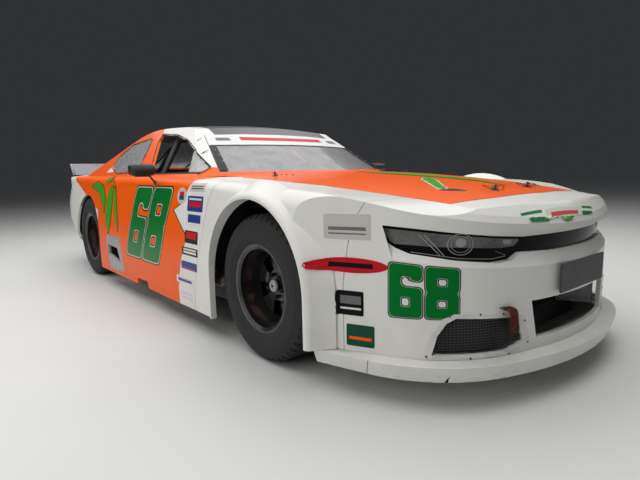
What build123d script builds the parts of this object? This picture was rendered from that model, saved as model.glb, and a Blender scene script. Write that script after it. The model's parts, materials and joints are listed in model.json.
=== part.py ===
from build123d import *
from math import cos, radians, sin
import os

os.makedirs("parts", exist_ok=True)

# A stock car in millimetres. The nose points along -Y, +X is the driver's left, Z is up,
# and the origin lies on the ground under the middle of the car.

# ---------------------------------------------------------------- driving dimensions
front_axle_y = -1393
wheelbase = 2740
tyre_radius = 345
tyre_width = 286
wheel_centre_x = 799
rim_radius = 197
steering_lock = 18

skin = 20
panel_gap = 3
lid_gap = 5
glass = 5
seat_gap = 0.3
sill_z = 125
flare_half_width = 985

front_arch_y = front_axle_y - 7
front_arch_z = 371
front_arch_radius = 391
rear_arch_y = front_axle_y + wheelbase - 5
rear_arch_z = 328
rear_arch_radius = 386

nose_y = -2474
nose_bottom_z = 176
front_arc_radius = 1400
front_arc_angle = 22
corner_radius = 560
splitter_corner_angle = 74
fascia_corner_angle = 66
fascia_inset = 44
lip_z = 110
lip_overhang = 20
lamp_tilt = 8.3
brow_tilt = 13.7
lamp_crease_z = 494
lamp_ledge_z = 553
lamp_ledge_inset = 34
brow_lip_z = 612
brow_crease_z = 645
lamp_depth = 70

tail_y = 2452
tail_arc_radius = 3600
tail_corner_radius = 210
tail_half_width = 905

hood_front_y = -2246
hood_rear_y = -905
deck_front_y = 1980
deck_rear_y = 2340
deck_half_width = 600
fender_seam_y = -1895
door_seam_y = -795
tail_seam_y = 2010
spoiler_height = 125
spoiler_half_width = 800

hoop_radius = 22.2
halo_radius = 21.6
brace_radius = 19
frame_height = 100
frame_width = 75
front_rail_x = 440
main_rail_x = 700
floor_z = 150
kingpin_x = 750
ball_radius = 16

rear_axle_y = front_axle_y + wheelbase
beyond = 3000
SIDES = (("right", -1), ("left", 1))


# ---------------------------------------------------------------- tools for the forms
def prism_x(points, x_from, x_to, grow=0):
    """A side-view outline of (y, z) points, drawn out along X."""
    with BuildPart() as body:
        with BuildSketch(Plane.YZ.offset(x_from)):
            with BuildLine():
                Polyline(*points, close=True)
            make_face()
            if grow:
                offset(amount=grow, kind=Kind.INTERSECTION)
        extrude(amount=x_to - x_from)
    return body.part


def prism_y(points, y_from, y_to, grow=0):
    """A front-view outline of (x, z) points, drawn out along Y."""
    with BuildPart() as body:
        with BuildSketch(Plane.XZ.offset(-y_to)):
            with BuildLine():
                Polyline(*points, close=True)
            make_face()
            if grow:
                offset(amount=grow, kind=Kind.INTERSECTION)
        extrude(amount=y_to - y_from)
    return body.part


def prism_z(points, z_from, z_to, grow=0):
    """A plan outline of (x, y) points, drawn out along Z."""
    with BuildPart() as body:
        with BuildSketch(Plane.XY.offset(z_from)):
            with BuildLine():
                Polyline(*points, close=True)
            make_face()
            if grow:
                offset(amount=grow, kind=Kind.INTERSECTION)
        extrude(amount=z_to - z_from)
    return body.part


def box(x_from, x_to, y_from, y_to, z_from, z_to):
    """A block between two values along each axis."""
    corners = [(x_from, y_from), (x_to, y_from), (x_to, y_to), (x_from, y_to)]
    return prism_z(corners, z_from, z_to)


def tilted(height, angle):
    """A plane at this height under the nose that rises towards the rear."""
    pitch = radians(angle)
    return Plane(origin=(0, nose_y, height), x_dir=(1, 0, 0), z_dir=(0, -sin(pitch), cos(pitch)))


corner_swell = 1.06


def tube(points, radius):
    """A run of round tube with mitred corners through these points."""
    with BuildPart() as run:
        for start, end in zip(points, points[1:]):
            axis = Vector(*end) - Vector(*start)
            with BuildSketch(Plane(origin=start, z_dir=axis)):
                Circle(radius)
            extrude(amount=axis.length)
        for point in points[1:-1]:
            with Locations(point):
                Sphere(radius * corner_swell)
    return run.part


# ---------------------------------------------------------------- nose and tail in plan
def nose_outline(plane, inset, corner_angle):
    """Front arc, two corner arcs and flaring sides, set in from the splitter's edge."""
    stretch = 1 / plane.z_dir.Z
    arc_centre = front_arc_radius
    front, corner = radians(front_arc_angle), radians(corner_angle)
    radius_one, radius_two = front_arc_radius - inset, corner_radius - inset
    corner_x = (front_arc_radius - corner_radius) * sin(front)
    corner_y = arc_centre - (front_arc_radius - corner_radius) * cos(front)

    def on_front(angle):
        return (radius_one * sin(angle), (arc_centre - radius_one * cos(angle)) * stretch)

    def on_corner(angle):
        across = corner_x + radius_two * sin(angle)
        return (across, (corner_y - radius_two * cos(angle)) * stretch)

    middle = (front + corner) / 2
    side_run = 900
    start, turn, end = on_front(front), on_corner(middle), on_corner(corner)
    out = (end[0] + side_run * cos(corner), end[1] + side_run * sin(corner) * stretch)
    back = (out[0], 2 * beyond)
    with BuildSketch(plane) as outline:
        with BuildLine():
            ThreePointArc((-start[0], start[1]), on_front(0), start)
            ThreePointArc(start, turn, end)
            Polyline(end, out, back, (-back[0], back[1]), (-out[0], out[1]), (-end[0], end[1]))
            ThreePointArc((-end[0], end[1]), (-turn[0], turn[1]), (-start[0], start[1]))
        make_face()
    return outline.sketch


def nose_layer(low, high, ruled=True):
    """One storey of the nose between (height, tilt, inset) and another, or more."""
    levels = [low, *high] if isinstance(high, list) else [low, high]
    with BuildPart() as storey:
        for height, tilt, inset in levels:
            add(nose_outline(tilted(height, tilt), inset, fascia_corner_angle))
        loft(ruled=ruled)
    return storey.part


# front view of the lamp pocket as (x, z), from its outer end along the lower edge and back under the brow
LAMP_POCKET = [(795, 676), (758, 590), (738, 572), (626, 546), (492, 530), (415, 535), (374, 560), (200, 553),
               (-200, 553), (-374, 560), (-415, 535), (-492, 530), (-626, 546), (-738, 572), (-758, 590),
               (-795, 676), (-653, 651), (-488, 628), (-353, 617), (353, 617), (488, 628), (653, 651)]
# the slope between the crease across the nose and the pocket's lower edge
LAMP_LEDGE = [(796, 676), (779, 541), (717, 518), (530, 508), (274, 496), (-274, 496), (-530, 508),
              (-717, 518), (-779, 541), (-796, 676), (-653, 640), (653, 640)]
lamp_end_y = -1900


def nose_volume(inset):
    """The nose: upright up to its crease, then a dome, less the pocket and ledge of the lamps."""
    low_face, high_face = fascia_inset + inset, fascia_inset + lamp_ledge_inset + inset
    recessed = fascia_inset + lamp_depth + inset
    rise = brow_crease_z
    # height at the nose, tilt, inset from the splitter's edge
    dome = [(rise + 22, brow_tilt, 58 + inset), (rise + 58, brow_tilt, 98 + inset),
            (rise + 100, brow_tilt, 170 + inset), (rise + 150, brow_tilt, 290 + inset)]
    with BuildPart() as nose:
        add(nose_layer((-200, 0, low_face), (lamp_crease_z, lamp_tilt, low_face)))
        add(nose_layer((lamp_crease_z, lamp_tilt, low_face), (brow_crease_z, brow_tilt, low_face)))
        add(nose_layer((brow_crease_z, brow_tilt, low_face), dome))
        with BuildPart(mode=Mode.PRIVATE) as ledge:
            add(prism_y(LAMP_LEDGE, -beyond, lamp_end_y, inset))
            add(nose_layer((-200, lamp_tilt, low_face), (lamp_crease_z, lamp_tilt, low_face)), mode=Mode.SUBTRACT)
            add(nose_layer((lamp_crease_z, lamp_tilt, low_face), (lamp_ledge_z, lamp_tilt, high_face)),
                mode=Mode.SUBTRACT)
            add(nose_layer((lamp_ledge_z, lamp_tilt, high_face), (900, lamp_tilt, high_face)), mode=Mode.SUBTRACT)
        with BuildPart(mode=Mode.PRIVATE) as pocket:
            add(prism_y(LAMP_POCKET, -beyond, lamp_end_y, inset))
            add(nose_layer((-200, lamp_tilt, recessed), (900, lamp_tilt, recessed)), mode=Mode.SUBTRACT)
        add(ledge.part, mode=Mode.SUBTRACT)
        add(pocket.part, mode=Mode.SUBTRACT)
    return nose.part


def tail_volume(inset):
    """The tail in plan, closed far ahead of it, with a tucked-in lower edge."""
    # height, inset from the rearmost line
    levels = [(120, 150), (300, 40), (470, 0), (620, 0), (780, 28), (1300, 28)]
    with BuildPart() as tail:
        for height, tuck in levels:
            width = tail_half_width - inset - tuck
            centre = tail_y - inset - tuck
            sag = width * width / (2 * tail_arc_radius)
            corner_y = centre - sag - tail_corner_radius
            with BuildSketch(Plane.XY.offset(height)):
                with BuildLine():
                    right = (-width + tail_corner_radius * 0.9, centre - sag * 0.75)
                    left = (-right[0], right[1])
                    bend = (-width + tail_corner_radius * 0.24, corner_y + tail_corner_radius * 0.74)
                    ThreePointArc(left, (0, centre), right)
                    ThreePointArc(right, bend, (-width, corner_y))
                    wide = (-width - 400, corner_y - 1900)
                    Polyline((-width, corner_y), wide, (wide[0], -2 * beyond), (-wide[0], -2 * beyond),
                             (-wide[0], wide[1]), (width, corner_y))
                    ThreePointArc((width, corner_y), (-bend[0], bend[1]), left)
                make_face()
        loft(ruled=True)
    return tail.part


# ---------------------------------------------------------------- lower body
# station y; half width and height of the hood line, of the shoulder and of the side's top;
# half width at the waist and at the sill; height on the centre line
BODY_STATIONS = [
    (-2620, 470, 640, 800, 560, 930, 500, 960, 940, 650),
    (-2240, 560, 735, 850, 660, 935, 600, 975, 950, 768),
    (-1960, 600, 770, 858, 764, 945, 690, 975, 955, 812),
    (-1600, 645, 808, 862, 806, 940, 740, 972, 955, 845),
    (-1000, 690, 848, 872, 836, 930, 780, 965, 945, 876),
    (-400, 700, 868, 880, 853, 926, 795, 965, 940, 884),
    (600, 700, 874, 880, 862, 926, 800, 965, 940, 886),
    (1500, 700, 880, 872, 868, 918, 806, 958, 930, 890),
    (2050, 700, 888, 850, 876, 895, 815, 930, 900, 898),
    (2560, 690, 888, 800, 876, 845, 815, 880, 850, 898),
]


def body_loft(inset):
    """The lower body drawn out along the car through its stations."""
    with BuildPart() as hull:
        for station in BODY_STATIONS:
            y, hood_x, hood_z, shoulder_x, shoulder_z, side_x, side_z, waist_x, sill_x, crown_z = station
            waist_z = 480
            with BuildSketch(Plane.XZ.offset(-y)):
                with BuildLine():
                    sill, waist = (sill_x - inset, -200), (waist_x - inset, waist_z)
                    side, shoulder = (side_x - inset, side_z - inset / 2), (shoulder_x - inset, shoulder_z - inset)
                    hood_edge, crown = (hood_x - inset / 2, hood_z - inset), (0, crown_z - inset)
                    bulge = ((side[0] * 0.62 + shoulder[0] * 0.38) + 6, (side[1] * 0.38 + shoulder[1] * 0.62) + 3)
                    Line((-sill[0], sill[1]), sill)
                    ThreePointArc(sill, waist, side)
                    ThreePointArc(side, bulge, shoulder)
                    Line(shoulder, hood_edge)
                    ThreePointArc(hood_edge, crown, (-hood_edge[0], hood_edge[1]))
                    Line((-hood_edge[0], hood_edge[1]), (-shoulder[0], shoulder[1]))
                    ThreePointArc((-shoulder[0], shoulder[1]), (-bulge[0], bulge[1]), (-side[0], side[1]))
                    ThreePointArc((-side[0], side[1]), (-waist[0], waist[1]), (-sill[0], sill[1]))
                make_face()
        loft()
    return hull.part


def arch_tool(side, y, z, radius, x_from, x_to):
    """A wheel opening: round above its centre, straight down below it."""
    near, far = min(side * x_from, side * x_to), max(side * x_from, side * x_to)
    with BuildPart() as tool:
        with BuildSketch(Plane.YZ.offset(near)):
            with Locations((y, z)):
                Circle(radius)
            with Locations((y, z - beyond / 2)):
                Rectangle(2 * radius, beyond)
        extrude(amount=far - near)
    return tool.part


def lip_profile(side, end):
    """The section of a front wheel opening's lip, ahead of the wheel or behind it."""
    inner, root, reach = front_arch_radius - 2, 700, flare_half_width
    edge, crest, hollow, foot = inner + 14, inner + 36, inner + 54, inner + 84

    def at(x, radius):
        return (side * x, front_arch_y + end * radius)

    with BuildSketch(Plane.XY.offset(front_arch_z)) as profile:
        with BuildLine():
            Polyline(at(reach - 104, foot), at(reach - 160, edge), at(root, inner), at(reach, inner),
                     at(reach, edge))
            ThreePointArc(at(reach, edge), at(reach - 8, edge + 13), at(reach - 24, crest))
            ThreePointArc(at(reach - 24, crest), at(reach - 60, hollow), at(reach - 104, foot))
        make_face()
    return profile.sketch


def flare(side):
    """The raised lip round a front wheel opening, faired into the fender by a hollow."""
    with BuildPart() as ring:
        add(lip_profile(side, -1))
        revolve(axis=Axis((0, front_arch_y, front_arch_z), (1, 0, 0)), revolution_arc=-180)
        add(lip_profile(side, -1))
        add(lip_profile(side, 1))
        extrude(amount=sill_z - front_arch_z)
    return ring.part


def body_volume(inset):
    """The whole lower body as one solid, set in by the skin for its inside."""
    with BuildPart() as volume:
        add(body_loft(inset))
        add(nose_volume(inset), mode=Mode.INTERSECT)
        add(tail_volume(inset), mode=Mode.INTERSECT)
    return volume.part



# ---------------------------------------------------------------- greenhouse
# height of the level, then half width and y of the windscreen's corner and y of its middle,
# then half width and y of the side's front end
GLASS_BASE = (860, 705, -665, -875, 806, -560)
GLASS_TOP = (1146, 580, -197, -267, 604, -150)
# station y, height on the centre line, height at the roof rail
ROOF_STATIONS = [(-900, 900, 880), (-300, 1168, 1138), (-60, 1222, 1194), (300, 1252, 1222), (620, 1256, 1230),
                 (820, 1242, 1216), (1000, 1206, 1180), (1400, 1078, 1054), (1860, 926, 908), (1960, 888, 870), (2150, 800, 782)]
rail_x = 560


def glass_level(height, inset):
    """The greenhouse in plan at one height, between or past its two known levels."""
    share = (height - GLASS_BASE[0]) / (GLASS_TOP[0] - GLASS_BASE[0])
    corner_x, corner_y, middle_y, side_x, side_y = [
        low + (high - low) * share for low, high in zip(GLASS_BASE[1:], GLASS_TOP[1:])]
    corner_x, side_x = corner_x - inset * 0.6, side_x - inset
    corner_y, middle_y, side_y = corner_y + inset, middle_y + inset, side_y + inset * 0.4
    rear_x = side_x - 12
    with BuildSketch(Plane.XY.offset(height)) as outline:
        with BuildLine():
            ThreePointArc((-corner_x, corner_y), (0, middle_y), (corner_x, corner_y))
            Line((corner_x, corner_y), (side_x, side_y))
            Line((side_x, side_y), (rear_x, tail_y))
            Line((rear_x, tail_y), (-rear_x, tail_y))
            Line((-rear_x, tail_y), (-side_x, side_y))
            Line((-side_x, side_y), (-corner_x, corner_y))
        make_face()
    return outline.sketch


def greenhouse_volume(inset):
    """The cabin above the belt, closed, set in by the skin for its inside."""
    with BuildPart() as cabin:
        add(glass_level(800, inset))
        add(glass_level(1262, inset))
        loft(ruled=True)
        with BuildPart(mode=Mode.PRIVATE) as roof_line:
            for y, crown_z, edge_z in ROOF_STATIONS:
                fall = (crown_z - edge_z) / rail_x ** 2
                wide = 900
                edge = crown_z - fall * wide ** 2 - inset
                with BuildSketch(Plane.XZ.offset(-y)):
                    with BuildLine():
                        ThreePointArc((-wide, edge), (0, crown_z - inset), (wide, edge))
                        Polyline((wide, edge), (wide, 300), (-wide, 300), (-wide, edge))
                    make_face()
            loft()
        add(roof_line.part, mode=Mode.INTERSECT)
    return cabin.part


# ---------------------------------------------------------------- the two closed forms and their skins
body_outside = body_volume(0)
body_inside = body_volume(skin)
cabin_outside = greenhouse_volume(0)
cabin_inside = greenhouse_volume(skin)

with BuildPart() as body_skin:
    add(body_outside)
    for arch_side in (-1, 1):
        add(flare(arch_side))
    add(body_inside, mode=Mode.SUBTRACT)
    add(box(-1200, 1200, -beyond, beyond, -400, sill_z), mode=Mode.SUBTRACT)
    for arch_side in (-1, 1):
        add(arch_tool(arch_side, front_arch_y, front_arch_z, front_arch_radius, 560, 1200), mode=Mode.SUBTRACT)
        add(arch_tool(arch_side, rear_arch_y, rear_arch_z, rear_arch_radius, 560, 1200), mode=Mode.SUBTRACT)
    add(box(-1200, 1200, nose_y - 60, fender_seam_y + 200, sill_z, nose_bottom_z), mode=Mode.SUBTRACT)

# openings in the nose seen from the front, as (x, z)
CENTRE_OPENING = [(-338, 372), (338, 372), (306, 222), (-306, 222)]
CORNER_OPENING = [(-700, 196), (-686, 270), (-660, 322), (-636, 336), (-440, 322), (-384, 306), (-362, 222), (-440, 194)]

# seams seen from the side, as (y, z)
FENDER_SEAM = [(0, -300), (0, 450), (-16, 576), (-29, 654), (-60, 720), (-85, 762), (-85, 1000)]
DOOR_SEAM = [(0, -300), (0, 130), (-29, 300), (-93, 528), (-153, 743), (-216, 831), (-216, 1000)]


def behind(seam_y, seam, gap):
    """Everything behind a seam, starting half a gap away from it."""
    outline = [(seam_y + gap / 2 + y, z) for y, z in seam]
    return prism_x(outline + [(beyond, outline[-1][1]), (beyond, outline[0][1])], -1200, 1200)


def ahead(seam_y, seam, gap):
    """Everything ahead of a seam, ending half a gap away from it."""
    outline = [(seam_y - gap / 2 + y, z) for y, z in seam]
    return prism_x(outline + [(-beyond, outline[-1][1]), (-beyond, outline[0][1])], -1200, 1200)


# plan outline of the hood as (x, y) from its front middle to its rear corner
HOOD_EDGE = [(320, -2222), (559, -2166), (600, -1948), (645, -1706), (685, -1401), (698, -1052), (700, hood_rear_y)]


def lid_outline(edge, first, gap):
    """A symmetric lid outline, grown by the gap."""
    grown = [(x + gap, y - gap if y < first + 120 else y) for x, y in edge]
    return [(-x, y) for x, y in reversed(grown)] + [(0, first - gap)] + grown


hood_plan = lid_outline(HOOD_EDGE, hood_front_y, 0)
hood_hole = lid_outline(HOOD_EDGE, hood_front_y, lid_gap)
hood_hole[0] = (hood_hole[0][0], hood_rear_y + lid_gap)
hood_hole[-1] = (hood_hole[-1][0], hood_rear_y + lid_gap)
lid_zone = (640, 1300)

with BuildPart() as hood:
    add(body_skin.part)
    add(prism_z(hood_plan, *lid_zone), mode=Mode.INTERSECT)
hood.part.label = "hood"
export_step(hood.part, "parts/hood.step")

deck_hole = box(-deck_half_width - lid_gap, deck_half_width + lid_gap, deck_front_y - lid_gap,
                deck_rear_y + lid_gap, *lid_zone)
with BuildPart() as deck_lid:
    add(body_skin.part)
    add(box(-deck_half_width, deck_half_width, deck_front_y, deck_rear_y, *lid_zone), mode=Mode.INTERSECT)
deck_lid.part.label = "deck_lid"
export_step(deck_lid.part, "parts/deck_lid.step")

with BuildPart() as nose_fascia:
    add(body_skin.part)
    add(ahead(fender_seam_y, FENDER_SEAM, panel_gap), mode=Mode.INTERSECT)
    add(prism_z(hood_hole, *lid_zone), mode=Mode.SUBTRACT)
    add(prism_y(CENTRE_OPENING, -beyond, -2300), mode=Mode.SUBTRACT)
    for corner_side in (-1, 1):
        opening = [(corner_side * x, z) for x, z in CORNER_OPENING]
        add(prism_y(opening, -beyond, -2100), mode=Mode.SUBTRACT)
    add(box(-485 - seat_gap, -435 + seat_gap, -beyond, -2300, 357 - seat_gap, 364 + seat_gap), mode=Mode.SUBTRACT)
nose_fascia.part.label = "nose_fascia"
export_step(nose_fascia.part, "parts/nose_fascia.step")

with BuildPart() as fender:
    add(body_skin.part)
    add(behind(fender_seam_y, FENDER_SEAM, panel_gap), mode=Mode.INTERSECT)
    add(ahead(door_seam_y, DOOR_SEAM, panel_gap), mode=Mode.INTERSECT)
    add(box(30, 1200, -beyond, beyond, 0, 1300), mode=Mode.INTERSECT)
    add(prism_z(hood_hole, *lid_zone), mode=Mode.SUBTRACT)
    add(box(0, 690, -beyond, beyond, 0, lid_zone[0]), mode=Mode.SUBTRACT)
    add(box(0, 680, hood_rear_y - 60, 0, *lid_zone), mode=Mode.SUBTRACT)
for name, panel in (("left", fender.part), ("right", mirror(fender.part, about=Plane.YZ))):
    panel.label = "fender_" + name
    export_step(panel, "parts/fender_" + name + ".step")

cabin_hole = [(-690, hood_rear_y + 60), (690, hood_rear_y + 60), (770, -600), (770, 1800), (690, 1900),
              (-690, 1900), (-770, 1800), (-770, -600)]
# the cowl closes the gap between the hood and the windscreen
with BuildPart() as cowl:
    add(body_skin.part)
    add(box(-680 + panel_gap, 680 - panel_gap, hood_rear_y + lid_gap, -600, *lid_zone), mode=Mode.INTERSECT)
    add(cabin_inside, mode=Mode.SUBTRACT)
cowl.part.label = "cowl"
export_step(cowl.part, "parts/cowl.step")

# exhaust opening in the right-hand side, as (y, z)
EXHAUST_PLATE = [(784, 413), (452, 421), (382, 161), (708, 150)]
with BuildPart() as body_side:
    add(body_skin.part)
    add(behind(door_seam_y, DOOR_SEAM, panel_gap), mode=Mode.INTERSECT)
    add(box(2, 1200, -beyond, beyond, 0, 1300), mode=Mode.INTERSECT)
    add(prism_z(cabin_hole, *lid_zone), mode=Mode.SUBTRACT)
    add(deck_hole, mode=Mode.SUBTRACT)
    add(prism_z(hood_hole, *lid_zone), mode=Mode.SUBTRACT)
    add(box(0, 680, -beyond, 0, 0, 1300), mode=Mode.SUBTRACT)
    add(box(0, 1200, tail_seam_y - panel_gap / 2, beyond, 0, 835), mode=Mode.SUBTRACT)
    add(prism_x([(-125, 0), (-85, 170), (105, 170), (112, 0)], 0, 1200), mode=Mode.SUBTRACT)
with BuildPart() as exhaust_side:
    add(mirror(body_side.part, about=Plane.YZ))
    add(prism_x(EXHAUST_PLATE, -1200, -800), mode=Mode.SUBTRACT)
for name, panel in (("left", body_side.part), ("right", exhaust_side.part)):
    panel.label = "side_" + name
    export_step(panel, "parts/side_" + name + ".step")

with BuildPart() as exhaust_plate:
    add(body_skin.part)
    add(prism_x(EXHAUST_PLATE, -1200, -800), mode=Mode.INTERSECT)
    add(prism_x([(735, 340), (515, 332), (448, 225), (728, 269)], -1200, -800), mode=Mode.SUBTRACT)
exhaust_plate.part.label = "exhaust_plate"
export_step(exhaust_plate.part, "parts/exhaust_plate.step")

with BuildPart() as rear_fascia:
    add(body_skin.part)
    add(box(-1200, 1200, tail_seam_y + panel_gap / 2, beyond, 0, 835 - panel_gap), mode=Mode.INTERSECT)
    add(box(-1200, 1200, 0, beyond, 0, 165), mode=Mode.SUBTRACT)
rear_fascia.part.label = "rear_fascia"
export_step(rear_fascia.part, "parts/rear_fascia.step")

# ---------------------------------------------------------------- roof, pillars and glass
WINDSCREEN = [(-690, 886), (690, 886), (574, 1136), (0, 1152), (-574, 1136)]
DOOR_WINDOW = [(-546, 913), (-300, 1030), (-86, 1104), (153, 1156), (472, 1184), (472, 1133), (250, 888), (-546, 888)]
QUARTER_WINDOW = [(524, 906), (640, 1150), (700, 1163), (1058, 1136), (1231, 1049), (1240, 950), (1003, 896)]
REAR_WINDOW = [(-470, 1060), (470, 1060), (560, 1780), (-560, 1780)]


def greenhouse_shell(outer, inner):
    """The greenhouse between two depths below its surface, standing on the lower body."""
    with BuildPart() as shell:
        add(greenhouse_volume(outer) if outer else cabin_outside)
        add(greenhouse_volume(inner) if inner != skin else cabin_inside, mode=Mode.SUBTRACT)
        add(body_outside, mode=Mode.SUBTRACT)
        add(box(-1200, 1200, -beyond, beyond, 0, 835), mode=Mode.SUBTRACT)
    return shell.part


with BuildPart() as roof:
    add(greenhouse_shell(0, skin))
    add(prism_y(WINDSCREEN, -1100, 150), mode=Mode.SUBTRACT)
    add(prism_x(DOOR_WINDOW, -1200, 1200), mode=Mode.SUBTRACT)
    add(prism_x(QUARTER_WINDOW, -1200, 1200), mode=Mode.SUBTRACT)
    add(prism_z(REAR_WINDOW, 850, 1300), mode=Mode.SUBTRACT)
roof.part.label = "roof"
export_step(roof.part, "parts/roof.step")

pane = greenhouse_shell(4, 4 + glass)
with BuildPart() as windscreen:
    add(pane)
    add(prism_y(WINDSCREEN, -1100, 150, -seat_gap), mode=Mode.INTERSECT)
windscreen.part.label = "windscreen"
export_step(windscreen.part, "parts/windscreen.step")
with BuildPart() as rear_window:
    add(pane)
    add(prism_z(REAR_WINDOW, 850, 1300, -seat_gap), mode=Mode.INTERSECT)
rear_window.part.label = "rear_window"
export_step(rear_window.part, "parts/rear_window.step")
with BuildPart() as quarter_windows:
    add(pane)
    add(prism_x(QUARTER_WINDOW, -1200, 1200, -seat_gap), mode=Mode.INTERSECT)
quarter_windows.part.label = "quarter_windows"
export_step(quarter_windows.part, "parts/quarter_windows.step")


# ---------------------------------------------------------------- what is fixed to the body
with BuildPart() as front_splitter:
    # height, inset from the splitter's edge
    lip_levels = [(lip_z, 0), (lip_z + 62, -lip_overhang), (nose_bottom_z - seat_gap, fascia_inset - 6)]
    for (low_z, low_inset), (high_z, high_inset) in zip(lip_levels, lip_levels[1:]):
        with BuildPart(mode=Mode.PRIVATE) as storey:
            add(nose_outline(tilted(low_z, 0), low_inset, splitter_corner_angle))
            add(nose_outline(tilted(high_z, 0), high_inset, splitter_corner_angle))
            loft(ruled=True)
        add(storey.part)
    add(box(-1200, 1200, -beyond, front_arch_y - front_arch_radius, 0, 400), mode=Mode.INTERSECT)
    add(box(-flare_half_width, flare_half_width, -beyond, 0, 0, 400), mode=Mode.INTERSECT)
    add(box(-520, 520, -2330, 0, lip_z + 14, 400), mode=Mode.SUBTRACT)
front_splitter.part.label = "front_splitter"
export_step(front_splitter.part, "parts/front_splitter.step")

lamp_face_inset = fascia_inset + lamp_ledge_inset + 6
lamp_back_inset = fascia_inset + lamp_depth - seat_gap
with BuildPart() as lamp_band:
    add(nose_layer((-200, lamp_tilt, lamp_face_inset), (900, lamp_tilt, lamp_face_inset)))
    add(nose_layer((-210, lamp_tilt, lamp_back_inset), (910, lamp_tilt, lamp_back_inset)), mode=Mode.SUBTRACT)
    add(prism_y(LAMP_POCKET, -beyond, lamp_end_y - 10, -seat_gap), mode=Mode.INTERSECT)
lamp_band.part.label = "lamp_band"
export_step(lamp_band.part, "parts/lamp_band.step")

mesh_inset = fascia_inset + 12
mesh_sheet = 5
with BuildPart() as grille_meshes:
    for side in (-1, 1):
        add(prism_y([(side * x, z) for x, z in CORNER_OPENING], -beyond, -2000))
    add(nose_layer((0, 0, mesh_inset), (480, 0, mesh_inset)), mode=Mode.INTERSECT)
    add(nose_layer((-100, 0, mesh_inset + mesh_sheet), (490, 0, mesh_inset + mesh_sheet)), mode=Mode.SUBTRACT)
grille_meshes.part.label = "grille_meshes"
export_step(grille_meshes.part, "parts/grille_meshes.step")

plate_width, plate_height = 410, 116
with BuildPart() as front_plate:
    with BuildSketch(Plane(origin=(0, nose_y + fascia_inset - seat_gap, 443), x_dir=(1, 0, 0), z_dir=(0, -1, 0))):
        RectangleRounded(plate_width, plate_height, 6)
    extrude(amount=6)
front_plate.part.label = "front_plate"
export_step(front_plate.part, "parts/front_plate.step")

with BuildPart() as tow_strap:
    with BuildSketch(Plane.YZ.offset(-485)):
        with BuildLine():
            Polyline((-2340, 364), (-2375, 364), (-2388, 340), (-2386, 268), (-2380, 268), (-2381, 338), (-2371, 357),
                     (-2340, 357), close=True)
        make_face()
    extrude(amount=50)
tow_strap.part.label = "tow_strap"
export_step(tow_strap.part, "parts/tow_strap.step")

with BuildPart() as spoiler:
    add(prism_x([(2375, 893), (2483, 1012), (2493, 1012), (2390, 893)], -spoiler_half_width, spoiler_half_width))
    for end in (-1, 1):
        add(prism_x([(2330, 893), (2470, 985), (2386, 893)], end * 780 - 4, end * 780 + 4))
    add(body_outside, mode=Mode.SUBTRACT)
spoiler.part.label = "spoiler"
export_step(spoiler.part, "parts/spoiler.step")

with BuildPart() as mirrors:
    for side in (-1, 1):
        near, far = sorted((side * 965, side * 1110))
        add(prism_x([(-335, 885), (-320, 872), (-250, 872), (-250, 943), (-300, 943), (-335, 925)], near, far))
        stalk = prism_z([(side * 880, -215), (side * 985, -275), (side * 1000, -255), (side * 895, -190)], 800, 876)
        add(stalk)
    add(body_outside, mode=Mode.SUBTRACT)
mirrors.part.label = "mirrors"
export_step(mirrors.part, "parts/mirrors.step")


VENT_PANE = [(-546, 913), (-300, 1030), (-300, 1010), (-400, 888), (-546, 888)]
with BuildPart() as vent_panes:
    add(pane)
    add(prism_x(VENT_PANE, -1200, 1200, -seat_gap), mode=Mode.INTERSECT)
vent_panes.part.label = "vent_panes"
export_step(vent_panes.part, "parts/vent_panes.step")

# ---------------------------------------------------------------- frame, floor and bulkheads
body_clear = body_volume(skin + seat_gap)
rail_z = sill_z + 5
rail_top_z = rail_z + frame_height
rear_rail_z = 520
half = frame_width / 2
with BuildPart() as frame:
    for side in (-1, 1):
        x = side * front_rail_x
        add(box(x - half, x + half, -2200, -760, rail_z, rail_top_z))
        x = side * main_rail_x
        add(box(x - half, x + half, -760, 900, rail_z, rail_top_z))
        x = side * front_rail_x
        add(box(x - half, x + half, 825, 2200, rear_rail_z, rear_rail_z + 80))
        add(box(x - half, x + half, 825, 900, rail_z, rear_rail_z))
    for y in (-2200, -1700, -760, 825):
        reach = main_rail_x + half if y > -1000 else front_rail_x + half
        add(box(-reach, reach, y, y + 75, rail_z, rail_top_z))
    for y in (1000, 2125):
        add(box(-front_rail_x, front_rail_x, y, y + 60, rear_rail_z, rear_rail_z + 80))
frame.part.label = "frame"
export_step(frame.part, "parts/frame.step")

floor_z = rail_top_z + seat_gap
tunnel_x, tunnel_z = 150, 450
sheet = 5
firewall_y = -745
floor_rear_y = 825 - seat_gap
with BuildPart() as floor_pan:
    add(box(-main_rail_x - half, main_rail_x + half, firewall_y, floor_rear_y, floor_z, floor_z + sheet))
    add(box(-tunnel_x, tunnel_x, firewall_y, floor_rear_y, floor_z, tunnel_z))
    add(box(-tunnel_x + sheet, tunnel_x - sheet, firewall_y, floor_rear_y, floor_z - 50, tunnel_z - sheet), mode=Mode.SUBTRACT)
floor_pan.part.label = "floor_pan"
export_step(floor_pan.part, "parts/floor_pan.step")

exhaust_radius = 38
EXHAUST_RUN = [(-225, -1180, 470), (-420, -1120, 400), (-540, -960, 290), (-835, -880, 285), (-835, 560, 285),
               (-925, 600, 285)]
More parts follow.
